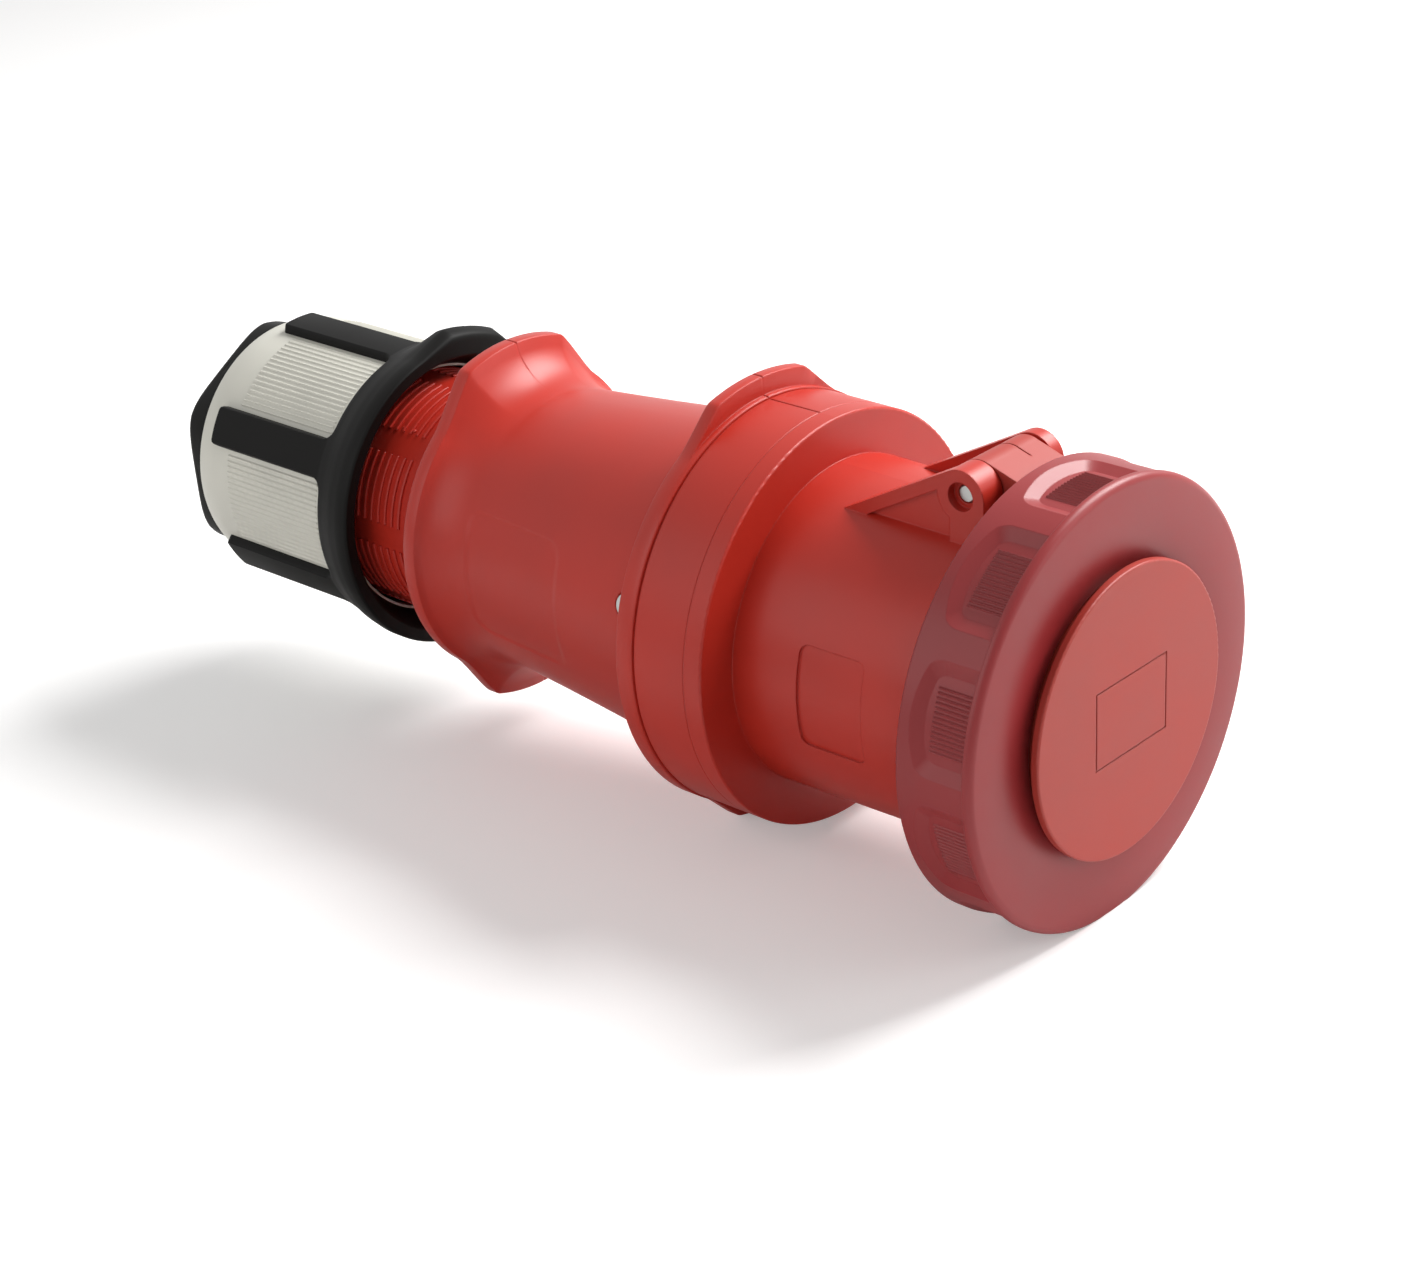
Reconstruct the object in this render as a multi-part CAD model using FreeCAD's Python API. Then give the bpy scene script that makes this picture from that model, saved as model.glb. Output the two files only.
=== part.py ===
import FreeCAD, Part
import math
import os

# Industrial cable coupler, the female half for five 63 A poles.
# Every size is in millimetres. The parts are drawn in the connector's own frame: the long axis
# is X and its front points to +X, x = 0 is the front face of the bayonet ring, and the hinge is
# on top, towards +Z. An angle round the axis is 0 at the top and grows towards +Y.
# At the end the assembly is stood on its collar foot and its ring, with the origin at the foot.

V = FreeCAD.Vector
ORIGIN = V(0, 0, 0)
TOUCH = 1e-6
AXIS = V(1, 0, 0)

# Clearances
SLIDE_GAP = 0.3
PIN_GAP = 0.05
BONDED_GAP = 0.05

# Bayonet ring
RING_R = 59.0
RING_LENGTH = 22.3
RING_FRONT_ROUND = 2.0
RING_REAR_ROUND = 0.6
RING_FRONT_WALL = 3.0
RING_WALL = 4.8
RING_HOLE_R = 41.0
RING_HOLE_ROUND = 2.0
RING_TURN_DEG = 35.0
LUG_DEPTH = 9.0
LUG_LENGTH = 3.7
LUG_INSET = 0.3
LUG_HALF_DEG = 11.0
LUG_ANGLES = (-90.0, 90.0)
SNAP_ANGLES = (60.0, 180.0, 300.0)
SNAP_HALF_DEG = 8.0
SNAP_DEPTH = 1.9
SNAP_LENGTH = 2.0

# Grip pockets of the ring
POCKET_COUNT = 10
POCKET_TURN_DEG = -2.3
POCKET_DEPTH = 1.9
POCKET_REAR_X = -18.9
POCKET_HALF_DEG = 14.3
POCKET_CORNER = 4.0
POCKET_REAR_SLOPE = 1.7
POCKET_SIDE_SLOPE = 3.3
POCKET_RIBS = 14
POCKET_RIB_PITCH_DEG = 1.2
POCKET_RIB_HEIGHT = 0.45
POCKET_RIB_WIDTH = 0.6
POCKET_RIB_REAR_X = -13.4

# Lid
DISC_R = 38.5
DISC_FRONT_X = 4.6
DISC_EDGE = 2.1
DISC_ROUND = 0.5
LID_NECK_R = 34.6
LID_WALL = 2.7
LID_FLANGE_LENGTH = 3.0
LID_CAVITY_R = 31.5
LID_RIB_COUNT = 4
LID_RIB_WIDTH = 2.0
LID_SKIRT_R = 48.8
LID_SKIRT_WALL = 2.6
LID_SKIRT_LENGTH = 6.0
LABEL_LENGTH = 30.0
LABEL_HEIGHT = 21.3
LABEL_GROOVE = 0.5
LABEL_DEPTH = 0.35
SEAL_THICKNESS = 2.6
SEAL_GROOVE = 1.0
SEAL_INNER_R = 40.0
SEAL_OUTER_R = 45.4

# Hinge
PIN_X = -34.3
PIN_Z = 53.2
PIN_R = 2.5
KNUCKLE_R = 7.0
HINGE_HALF_WIDTH = 16.5
NEAR_BOSS_WIDTH = 7.8
EAR_WIDTH = 4.0
KNUCKLE_SEAM_Y = 3.7
KNUCKLE_SEAM_WIDTH = 0.4
KNUCKLE_SEAM_DEPTH = 0.5
FAR_SLOT = 1.3
PIN_HEAD_R = 3.75
PIN_HEAD_DEPTH = 2.5
PIN_FAR_WALL = 1.0
GUSSET_TIP_X = -71.5
GUSSET_TIP_Z = 41.0
GUSSET_SINK_Z = 40.6
GUSSET_RIM = 3.4
GUSSET_RECESS = 1.3
ARM_HALF_DEG = 11.5
ARM_INNER_R = 46.6
ARM_OUTER_R = 51.8
ARM_REAR_GAP = 0.6
SPRING_WIRE_R = 0.5
SPRING_COIL_R = 3.6
SPRING_TURNS = 6
SPRING_PITCH = 1.5
SPRING_ROOM_R = 4.4

# Front housing
MOUTH_X = -8.0
MOUTH_ROUND = 0.8
BARREL_MOUTH_R = 43.8
BARREL_REAR_R = 44.6
BARREL_BORE_R = 40.9
COLLAR_FRONT_X = -86.2
COLLAR_R = 56.7
COLLAR_EDGE = 0.6
SEAM_X = -92.0
SPIGOT_RING_R = 52.7
SPIGOT_RING_WALL = 3.0
SPIGOT_RING_LENGTH = 7.5
COLLAR_WALL = 4.0
SLEEVE_R = 43.2
SLEEVE_WALL = 2.9
SLEEVE_REAR_X = -128.0
SHOULDER_X = -76.0
SHOULDER_LENGTH = 4.0
SHOULDER_BORE_R = 36.6
KEYWAY_WIDTH = 8.0
KEYWAY_DEPTH = 1.9
KEYWAY_REAR_X = -70.0
LABEL_PAD_X = (-65.4, -44.8)
LABEL_PAD_DEG = -88.0
LABEL_PAD_HALF = 14.0
LABEL_PAD_CORNER = 2.5
LABEL_PAD_DEPTH = 0.6

# Bayonet ramps on the barrel
RAMP_R = 48.9
RAMP_FRONT_X = -13.0
RAMP_START_GAP_DEG = 10.0
RAMP_STOP_GAP_DEG = 0.6
RAMP_LIFT = 1.3
RAMP_LUG_GAP = 0.4
RAMP_STOP_DEG = 3.5

# Rear housing: collar, handle, flange and threaded spigot
GROOVE_X = -109.0
GROOVE_STEP = 0.5
RIDGE_R = 57.2
RIDGE_REAR_X = -115.0
REAR_COLLAR_BORE_R = 53.0
HANDLE_FRONT_R = 47.9
HANDLE_MID_X = -155.0
HANDLE_MID_R = 43.5
HANDLE_REAR_X = -190.0
HANDLE_REAR_R = 40.3
HANDLE_WALL = 3.2
FLANGE_R = 45.5
FLANGE_FRONT_X = -202.2
FLANGE_REAR_X = -207.0
FLANGE_EDGE = 0.8
SPIGOT_R = 34.6
SPIGOT_REAR_X = -262.0
SPIGOT_BORE_R = 30.0
SPIGOT_STEP_X = -236.0
SPIGOT_LEDGE = 4.0
CABLE_PASS_R = 24.5
THREAD_RIB_HEIGHT = 1.0
THREAD_RIB_WIDTH = 1.1
THREAD_PITCH = 3.0
THREAD_FRONT_X = -213.0
THREAD_TURNS = 15
THREAD_SECTORS = 8
THREAD_SECTOR_HALF_DEG = 16.5
THREAD_TURN_DEG = -67.0
PANEL_X = (-187.0, -150.0)
PANEL_HALF = 18.5
PANEL_CORNER = 5.0
PANEL_DEPTH = 0.6
SIDE_ANGLES = (-88.0, 92.0)

# Lobes at the top and bottom of the collar ridge and of the flange
COLLAR_LOBE_R = 62.4
COLLAR_LOBE_HALF_DEG = 17.0
COLLAR_LOBE_FLANK_DEG = 26.0
COLLAR_LOBE_FRONT_X = -111.0
FLANGE_LOBE_R = 52.8
FLANGE_LOBE_HALF_DEG = 19.0
FLANGE_LOBE_FLANK_DEG = 34.0
FLANGE_WEB_FRONT_X = -187.0
LOBE_ANGLES = (0.0, 180.0)
LOBE_TIP_ROUND_DEG = 3.0
FOOT_DROP = 61.9

# Contact carrier and contacts
CARRIER_R = 35.6
CARRIER_FRONT_X = -10.0
CARRIER_FLANGE_R = 39.9
CARRIER_FLANGE_LENGTH = 4.0
POLE_CIRCLE_R = 21.5
POLE_ANGLES = {"contact_l1": 108.0, "contact_l2": 36.0, "contact_l3": -36.0, "contact_neutral": -108.0,
               "contact_earth": 180.0}
POLE_BORE_R = 4.05
EARTH_BORE_R = 5.05
ENTRY_EXTRA = 0.4
ENTRY_CHAMFER = 1.2
ENTRY_WALL = 6.0
CONTACT_WALL = 1.9
CONTACT_BORE_DEPTH = 50.0
CONTACT_FLANGE_EXTRA = 2.0
CONTACT_FLANGE_LENGTH = 2.5
TERMINAL_LENGTH = 19.5
TERMINAL_WALL = 0.6
WIRE_BORE_R = 4.0
WIRE_BORE_DEPTH = 16.0
CLIP_WALL = 0.5
CLIP_LENGTH = 8.0
CLIP_X = -30.0
TERMINAL_SCREW_R = 2.0
TERMINAL_SCREW_HEAD_GAP = 9.0
RETAINER_LENGTH = 4.0
CARRIER_SCREW_ANGLES = (0.0, 144.0, -144.0)
CARRIER_SCREW_CIRCLE_R = 30.0
CARRIER_SCREW_R = 2.0
CARRIER_SCREW_HEAD_R = 3.6
CARRIER_SCREW_HEAD = 2.6
CARRIER_SCREW_DEPTH = 12.0
LOCK_RING_LENGTH = 4.5
LOCK_RING_WALL = 3.0

# Housing lock screw
LOCK_SCREW_X = -121.5
LOCK_SCREW_DEG = -76.0
LOCK_SCREW_HEAD_R = 3.2
LOCK_SCREW_R = 2.0
LOCK_SCREW_HEAD = 2.2
LOCK_SCREW_TOP_R = 46.9
SLOT_WIDTH = 0.9
SLOT_DEPTH = 0.8

# Cable gland
NUT_R = 39.8
NUT_FRONT_X = -240.0
NUT_SHOULDER_X = -293.0
NUT_REAR_X = -303.0
NUT_REAR_R = 37.8
NUT_BORE_R = 36.2
NUT_WEB_X = -275.5
NUT_WEB_LENGTH = 4.0
NUT_RIBS = 17
NUT_RIB_PITCH_DEG = 2.35
NUT_RIB_HEIGHT = 0.35
NUT_RIB_WIDTH = 0.9
NUT_RIB_REAR_X = -288.0
NUT_RIB_FRONT_X = -249.0
BAR_COUNT = 6
BAR_TURN_DEG = -2.0
BAR_R = 42.3
BAR_HALF_WIDTH = 6.2
BAR_BEVEL = 1.4
BAR_REAR_X = -295.0
BAR_CORNER = 2.0
GRIP_FRONT_X = -231.0
GRIP_REAR_X = -243.5
GRIP_FRONT_R = 45.0
GRIP_REAR_R = 42.6
GRIP_RIM_R = 41.2
GRIP_RECESS_R = 36.9
GRIP_EDGE = 0.7
GRIP_LOBE_R = 48.8
GRIP_LOBE_DEG = 14.0
GRIP_LOBE_HALF_DEG = 12.0
GRIP_LOBE_FLANK_DEG = 24.0
END_RING_REAR_X = -312.0
END_RING_CORNER_R = 38.9
END_RING_FLAT_R = 36.3
END_RING_SLEEVE_WALL = 2.0
END_RING_PLATE = 3.0
CABLE_ENTRY_R = 20.0
SLIP_RING_LENGTH = 3.0
SLIP_RING_R = 29.0
SLIP_RING_BORE_R = 17.0
GROMMET_R = 26.2
GROMMET_BORE_R = 14.0
GROMMET_REAR_X = -264.0
CAGE_WALL = 3.2
CAGE_COLLAR_LENGTH = 8.0
CAGE_FINGERS = 8
CAGE_SLOT = 3.0

# Worked out from the sizes above
RING_REAR_X = -RING_LENGTH
RING_BORE_R = RING_R - RING_WALL
LID_FLANGE_R = RING_BORE_R - SLIDE_GAP
LID_FLANGE_FRONT_X = -RING_FRONT_WALL - SLIDE_GAP
LID_FLANGE_REAR_X = LID_FLANGE_FRONT_X - LID_FLANGE_LENGTH
LUG_FRONT_X = RING_REAR_X + LUG_INSET + LUG_LENGTH
RAMP_DEG = RING_TURN_DEG + RAMP_STOP_GAP_DEG - RAMP_START_GAP_DEG
COLLAR_SLEEVE_BORE_R = SLEEVE_R - SLEEVE_WALL
CARRIER_REAR_X = SHOULDER_X - SHOULDER_LENGTH - CARRIER_FLANGE_LENGTH
RETAINER_FRONT_X = CARRIER_REAR_X - CONTACT_FLANGE_LENGTH
RETAINER_REAR_X = RETAINER_FRONT_X - RETAINER_LENGTH
FOOT_X = (RIDGE_REAR_X + COLLAR_LOBE_FRONT_X) / 2
PIN_NEAR_Y = -HINGE_HALF_WIDTH + PIN_HEAD_DEPTH
PIN_FAR_Y = HINGE_HALF_WIDTH - PIN_FAR_WALL
CAGE_REAR_X = NUT_WEB_X + SLIP_RING_LENGTH
KNUCKLE_NEAR_Y = -HINGE_HALF_WIDTH + NEAR_BOSS_WIDTH + SLIDE_GAP
KNUCKLE_FAR_Y = HINGE_HALF_WIDTH - EAR_WIDTH - FAR_SLOT


def polar(x, r, deg):
    """The point at radius r and an angle from the top, at station x."""
    turn = math.radians(deg)
    return V(x, r * math.sin(turn), r * math.cos(turn))


def spun(shape, deg):
    """A copy of a shape, turned round the long axis from the top towards +Y."""
    copy = shape.copy()
    copy.rotate(ORIGIN, AXIS, -deg)
    return copy


def path(start, steps):
    """A closed wire. A step is the end of a straight run, or the middle and end of an arc."""
    edges = []
    here = start
    closing = [] if isinstance(steps[-1], tuple) and steps[-1][1].isEqual(start, TOUCH) else [start]
    for step in steps + closing:
        if isinstance(step, V):
            edges.append(Part.LineSegment(here, step).toShape())
            here = step
        else:
            edges.append(Part.Arc(here, step[0], step[1]).toShape())
            here = step[1]
    return Part.Wire(edges)


def section_point(step):
    """A section's (x, r) pair, or a pair of such pairs, in the plane of the axis and the top."""
    if isinstance(step[0], tuple):
        return (section_point(step[0]), section_point(step[1]))
    return V(step[0], 0, step[1])


def turned(*section):
    """A solid of revolution from its half section. A pair of pairs in it is an arc."""
    points = [section_point(step) for step in section]
    return Part.Face(path(points[0], points[1:])).revolve(ORIGIN, AXIS, 360)


def bevel_arc(corner, before, after):
    """A quarter round at a section's corner, as the start and the arc that follows it."""
    middle = (corner[0] + (before[0] + after[0]) * 0.293, corner[1] + (before[1] + after[1]) * 0.293)
    start = (corner[0] + before[0], corner[1] + before[1])
    end = (corner[0] + after[0], corner[1] + after[1])
    return start, (middle, end)


def rod(x_rear, x_front, r):
    """A plain cylinder on the long axis."""
    return Part.makeCylinder(r, x_front - x_rear, V(x_rear, 0, 0), AXIS)


def tube(x_rear, x_front, r_out, r_in):
    """A plain sleeve on the long axis."""
    return rod(x_rear, x_front, r_out).cut(rod(x_rear, x_front, r_in))


def sector(x_rear, x_front, r_in, r_out, deg, half_deg):
    """A block of a sleeve's wall, centred on an angle."""
    first, last = deg - half_deg, deg + half_deg
    wire = path(polar(x_rear, r_in, first), [
        (polar(x_rear, r_in, deg), polar(x_rear, r_in, last)), polar(x_rear, r_out, last),
        (polar(x_rear, r_out, deg), polar(x_rear, r_out, first))])
    return Part.Face(wire).extrude(V(x_front - x_rear, 0, 0))


def lobe(x_rear, x_front, r_body, r_lobe, half_deg, flank_deg):
    """A rounded lobe at the top, whose flanks run down into a round body in a hollow curve."""
    foot_r = r_body - 1
    tip = half_deg - LOBE_TIP_ROUND_DEG
    knee = (half_deg + flank_deg) / 2
    knee_r = r_body + 0.3 * (r_lobe - r_body)
    shoulder_r = r_lobe - 0.25 * (r_lobe - r_body)
    wire = path(polar(x_rear, foot_r, -flank_deg), [
        (polar(x_rear, knee_r, -knee), polar(x_rear, shoulder_r, -half_deg)),
        (polar(x_rear, r_lobe - 0.08 * (r_lobe - r_body), (-half_deg - tip) / 2), polar(x_rear, r_lobe, -tip)),
        (polar(x_rear, r_lobe, 0), polar(x_rear, r_lobe, tip)),
        (polar(x_rear, r_lobe - 0.08 * (r_lobe - r_body), (half_deg + tip) / 2), polar(x_rear, shoulder_r, half_deg)),
        (polar(x_rear, knee_r, knee), polar(x_rear, foot_r, flank_deg)),
        (polar(x_rear, foot_r, 0), polar(x_rear, foot_r, -flank_deg))])
    return Part.Face(wire).extrude(V(x_front - x_rear, 0, 0))


def rounded_rectangle(x_rear, x_front, half_width, corner, z):
    """A rounded rectangle in the plane at height z, as long as the axis from rear to front."""
    cut = corner * 0.293
    return path(V(x_rear + corner, -half_width, z), [
        V(x_front - corner, -half_width, z),
        (V(x_front - cut, -half_width + cut, z), V(x_front, -half_width + corner, z)),
        V(x_front, half_width - corner, z),
        (V(x_front - cut, half_width - cut, z), V(x_front - corner, half_width, z)),
        V(x_rear + corner, half_width, z),
        (V(x_rear + cut, half_width - cut, z), V(x_rear, half_width - corner, z)),
        V(x_rear, -half_width + corner, z),
        (V(x_rear + cut, -half_width + cut, z), V(x_rear + corner, -half_width, z))])


def tapered_block(low, high):
    """A block between two rounded rectangles, with sloping walls."""
    return Part.makeLoft([rounded_rectangle(*low), rounded_rectangle(*high)], True, True)


def shallow_pad(x_ends, half_width, corner, r_floor, depth):
    """What is cut away for a shallow panel with sloping walls in a round surface, at the top."""
    reach = depth + 3
    low = (x_ends[0] + depth, x_ends[1] - depth, half_width - depth, corner, r_floor - half_width)
    high = (x_ends[0], x_ends[1], half_width, corner, r_floor + reach)
    block = tapered_block(low, high)
    return block.cut(rod(x_ends[0] - 1, x_ends[1] + 1, r_floor))


def side_plate(points, y_near, y_far):
    """A plate with its outline in the plane of the axis and the top, between two y places."""
    steps = [(V(a[0][0], y_near, a[0][1]), V(a[1][0], y_near, a[1][1])) if isinstance(a[0], tuple)
             else V(a[0], y_near, a[1]) for a in points[1:]]
    start = V(points[0][0], y_near, points[0][1])
    return Part.Face(path(start, steps)).extrude(V(0, y_far - y_near, 0))


def cross_rod(x, z, y_near, y_far, r):
    """A cylinder across the object, from one y place to another."""
    return Part.makeCylinder(r, y_far - y_near, V(x, y_near, z), V(0, 1, 0))


def radial_rod(x, deg, r_low, r_high, r):
    """A cylinder that points away from the axis, between two distances from it."""
    return Part.makeCylinder(r, r_high - r_low, polar(x, r_low, deg), polar(0, 1, deg))


def joined(first, others):
    """One solid from a solid and what grows out of it."""
    return first.fuse(others).removeSplitter()


def pocket_cutter():
    """The room of one grip pocket at the top, with the ribs left standing on its floor."""
    floor_r = RING_R - POCKET_DEPTH
    half = RING_R * math.sin(math.radians(POCKET_HALF_DEG))
    edge_z = RING_R * math.cos(math.radians(POCKET_HALF_DEG))
    low_z = floor_r - 2
    high_z = RING_R + 1
    low = (POCKET_REAR_X + (RING_R - low_z) * POCKET_REAR_SLOPE, RING_R,
           half - (edge_z - low_z) * POCKET_SIDE_SLOPE, POCKET_CORNER / 2, low_z)
    high = (POCKET_REAR_X - (high_z - RING_R) * POCKET_REAR_SLOPE, RING_R,
            half + (high_z - edge_z) * POCKET_SIDE_SLOPE, POCKET_CORNER * 1.5, high_z)
    room = tapered_block(low, high).cut(rod(RING_REAR_X, RING_R, floor_r))
    front = Part.makeBox(RING_R, 2 * RING_R, 2 * RING_R, V(1, -RING_R, 0))
    ribs = [spun(pocket_rib(floor_r), (i - (POCKET_RIBS - 1) / 2) * POCKET_RIB_PITCH_DEG)
            for i in range(POCKET_RIBS)]
    return room.cut([front] + ribs)


def pocket_rib(floor_r):
    """One fine grip rib on a pocket's floor, at the top, with a roof-shaped section."""
    foot = POCKET_RIB_WIDTH / 2
    low = floor_r - 0.5
    wire = path(V(POCKET_RIB_REAR_X, -foot, low), [
        V(POCKET_RIB_REAR_X, -foot, floor_r), V(POCKET_RIB_REAR_X, 0, floor_r + POCKET_RIB_HEIGHT),
        V(POCKET_RIB_REAR_X, foot, floor_r), V(POCKET_RIB_REAR_X, foot, low)])
    return Part.Face(wire).extrude(V(-POCKET_RIB_REAR_X - RING_FRONT_ROUND / 4, 0, 0))


def bayonet_ring():
    """The turning ring: front wall, grip pockets, two bayonet lugs and three snap noses inside."""
    front_start, front_arc = bevel_arc((0, RING_R), (-RING_FRONT_ROUND, 0), (0, -RING_FRONT_ROUND))
    hole_start, hole_arc = bevel_arc((0, RING_HOLE_R), (0, RING_HOLE_ROUND), (-RING_HOLE_ROUND, 0))
    rear_start, rear_arc = bevel_arc((RING_REAR_X, RING_R), (0, -RING_REAR_ROUND), (RING_REAR_ROUND, 0))
    body = turned(rear_start, rear_arc, front_start, front_arc, hole_start, hole_arc,
                  (-RING_FRONT_WALL, RING_HOLE_R), (-RING_FRONT_WALL, RING_BORE_R), (RING_REAR_X, RING_BORE_R))
    grown = [sector(RING_REAR_X + LUG_INSET, LUG_FRONT_X, RING_BORE_R - LUG_DEPTH, RING_BORE_R + 1, deg,
                    LUG_HALF_DEG) for deg in LUG_ANGLES]
    snap_front_x = LID_FLANGE_REAR_X - SLIDE_GAP
    grown += [sector(snap_front_x - SNAP_LENGTH, snap_front_x, RING_BORE_R - SNAP_DEPTH, RING_BORE_R + 1, deg,
                     SNAP_HALF_DEG) for deg in SNAP_ANGLES]
    room = pocket_cutter()
    pitch = 360 / POCKET_COUNT
    pockets = [spun(room, POCKET_TURN_DEG + i * pitch) for i in range(POCKET_COUNT)]
    return joined(body, grown).cut(pockets)


def lid():
    """The spring lid: front disc, neck, flange under the ring, skirt, ribs and hinge arm."""
    disc_rear_x = DISC_FRONT_X - DISC_EDGE
    edge_start, edge_arc = bevel_arc((DISC_FRONT_X, DISC_R), (-DISC_ROUND, 0), (0, -DISC_ROUND))
    skirt_rear_x = LID_FLANGE_REAR_X - LID_SKIRT_LENGTH
    seal_front_x = LID_FLANGE_REAR_X + SEAL_GROOVE
    skirt_bore_r = LID_SKIRT_R - LID_SKIRT_WALL
    body = turned((DISC_FRONT_X, 0), (DISC_FRONT_X, DISC_R - DISC_ROUND), *reversed_corner(edge_start, edge_arc),
                  (disc_rear_x, DISC_R), (disc_rear_x, LID_NECK_R), (LID_FLANGE_FRONT_X, LID_NECK_R),
                  (LID_FLANGE_FRONT_X, LID_FLANGE_R), (LID_FLANGE_REAR_X, LID_FLANGE_R),
                  (LID_FLANGE_REAR_X, LID_SKIRT_R), (skirt_rear_x, LID_SKIRT_R), (skirt_rear_x, skirt_bore_r),
                  (LID_FLANGE_REAR_X, skirt_bore_r), (LID_FLANGE_REAR_X, SEAL_OUTER_R),
                  (seal_front_x, SEAL_OUTER_R), (seal_front_x, SEAL_INNER_R), (LID_FLANGE_REAR_X, SEAL_INNER_R),
                  (LID_FLANGE_REAR_X, LID_CAVITY_R), (DISC_FRONT_X - LID_WALL, LID_CAVITY_R),
                  (DISC_FRONT_X - LID_WALL, 0))
    ribs = [lid_rib(i * 180 / LID_RIB_COUNT) for i in range(LID_RIB_COUNT)]
    body = joined(body, ribs + [lid_arm()])
    return body.cut([label_groove(), knuckle_bore()])


def reversed_corner(start, arc):
    """The same quarter round, walked from its end back to its start."""
    return ((arc[0], start),)


def lid_rib(deg):
    """A stiffening rib across the lid's cavity."""
    length = 2 * LID_CAVITY_R + 1
    rear_x = LID_FLANGE_REAR_X + 1.5
    rib = Part.makeBox(DISC_FRONT_X - LID_WALL - rear_x + 0.5, LID_RIB_WIDTH, length,
                       V(rear_x, -LID_RIB_WIDTH / 2, -length / 2))
    return spun(rib, deg)


def lid_arm():
    """The arm from the lid's flange, under the ring and round the hinge pin."""
    rear_x = RING_REAR_X - ARM_REAR_GAP
    arm = sector(rear_x - 1, LID_FLANGE_REAR_X + 1, ARM_INNER_R, ARM_OUTER_R, 0, ARM_HALF_DEG)
    knuckle = cross_rod(PIN_X, PIN_Z, KNUCKLE_NEAR_Y, KNUCKLE_FAR_Y, KNUCKLE_R)
    top_z = PIN_Z + KNUCKLE_R * math.cos(math.radians(24))
    top_x = PIN_X + KNUCKLE_R * math.sin(math.radians(24))
    bridge = side_plate([(PIN_X, ARM_INNER_R), (rear_x, ARM_INNER_R), (rear_x, PIN_Z + 3.6), (top_x, top_z),
                         (PIN_X, PIN_Z)], KNUCKLE_NEAR_Y, KNUCKLE_FAR_Y)
    arm = joined(arm, [knuckle, bridge])
    seam = cross_rod(PIN_X, PIN_Z, KNUCKLE_SEAM_Y, KNUCKLE_SEAM_Y + KNUCKLE_SEAM_WIDTH, KNUCKLE_R + 1)
    seam = seam.cut(cross_rod(PIN_X, PIN_Z, KNUCKLE_SEAM_Y, KNUCKLE_SEAM_Y + KNUCKLE_SEAM_WIDTH,
                              KNUCKLE_R - KNUCKLE_SEAM_DEPTH))
    return arm.cut(seam)


def knuckle_bore():
    """The pin's running bore through the lid's knuckle, with the spring's room in its middle."""
    bore = cross_rod(PIN_X, PIN_Z, KNUCKLE_NEAR_Y - 1, KNUCKLE_FAR_Y + 1, PIN_R + PIN_GAP)
    length = SPRING_TURNS * SPRING_PITCH + 2 * SPRING_WIRE_R + 2 * SLIDE_GAP
    middle = (KNUCKLE_NEAR_Y + KNUCKLE_FAR_Y) / 2
    return bore.fuse(cross_rod(PIN_X, PIN_Z, middle - length / 2, middle + length / 2, SPRING_ROOM_R))


def label_groove():
    """The engraved rectangle on the disc."""
    outer = Part.makeBox(1, LABEL_LENGTH, LABEL_HEIGHT,
                         V(DISC_FRONT_X - LABEL_DEPTH, -LABEL_LENGTH / 2, -LABEL_HEIGHT / 2))
    inner_length = LABEL_LENGTH - 2 * LABEL_GROOVE
    inner_height = LABEL_HEIGHT - 2 * LABEL_GROOVE
    inner = Part.makeBox(1, inner_length, inner_height,
                         V(DISC_FRONT_X - LABEL_DEPTH, -inner_length / 2, -inner_height / 2))
    return outer.cut(inner)


def lid_seal():
    """The flat rubber ring in the lid's groove, which meets the barrel's mouth."""
    front_x = LID_FLANGE_REAR_X + SEAL_GROOVE
    return tube(MOUTH_X, front_x, SEAL_OUTER_R - BONDED_GAP, SEAL_INNER_R + BONDED_GAP)


def hinge_spring():
    """The lid's torsion spring, coiled round the pin inside the knuckle."""
    length = SPRING_TURNS * SPRING_PITCH
    middle = (KNUCKLE_NEAR_Y + KNUCKLE_FAR_Y) / 2
    helix = Part.makeHelix(SPRING_PITCH, length, SPRING_COIL_R)
    ring = Part.Wire(Part.Circle(V(SPRING_COIL_R, 0, 0), V(0, 1, 0), SPRING_WIRE_R).toShape())
    coil = Part.Wire(helix).makePipeShell([ring], True, True)
    coil.rotate(ORIGIN, V(1, 0, 0), -90)
    coil.translate(V(PIN_X, middle - length / 2, PIN_Z))
    return coil


def hinge_pin():
    """The steel hinge pin, with rounded ends, pressed into the two ears."""
    pin = cross_rod(PIN_X, PIN_Z, PIN_NEAR_Y, PIN_FAR_Y, PIN_R)
    return pin.makeChamfer(PIN_R / 5, [e for e in pin.Edges if e.Length > PIN_R * 6 and e.Closed])


def gusset_outline(inset):
    """An ear's outline: round head, long sloping rim and a foot in the barrel's wall."""
    run_x = PIN_X - GUSSET_TIP_X
    run_z = PIN_Z - GUSSET_TIP_Z
    reach = math.hypot(run_x, run_z)
    radius = KNUCKLE_R - inset
    slope = math.atan2(run_z, run_x) + math.asin(KNUCKLE_R / reach)
    head = (PIN_X - radius * math.sin(slope), PIN_Z + radius * math.cos(slope))
    tip = (GUSSET_TIP_X + inset / math.sin(slope), GUSSET_TIP_Z)
    crown = (PIN_X + radius * math.sin(math.pi / 8), PIN_Z + radius * math.cos(math.pi / 8))
    return [tip, head, (crown, (PIN_X + radius, PIN_Z)), (PIN_X + radius, GUSSET_SINK_Z), (tip[0], GUSSET_SINK_Z)]


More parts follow.
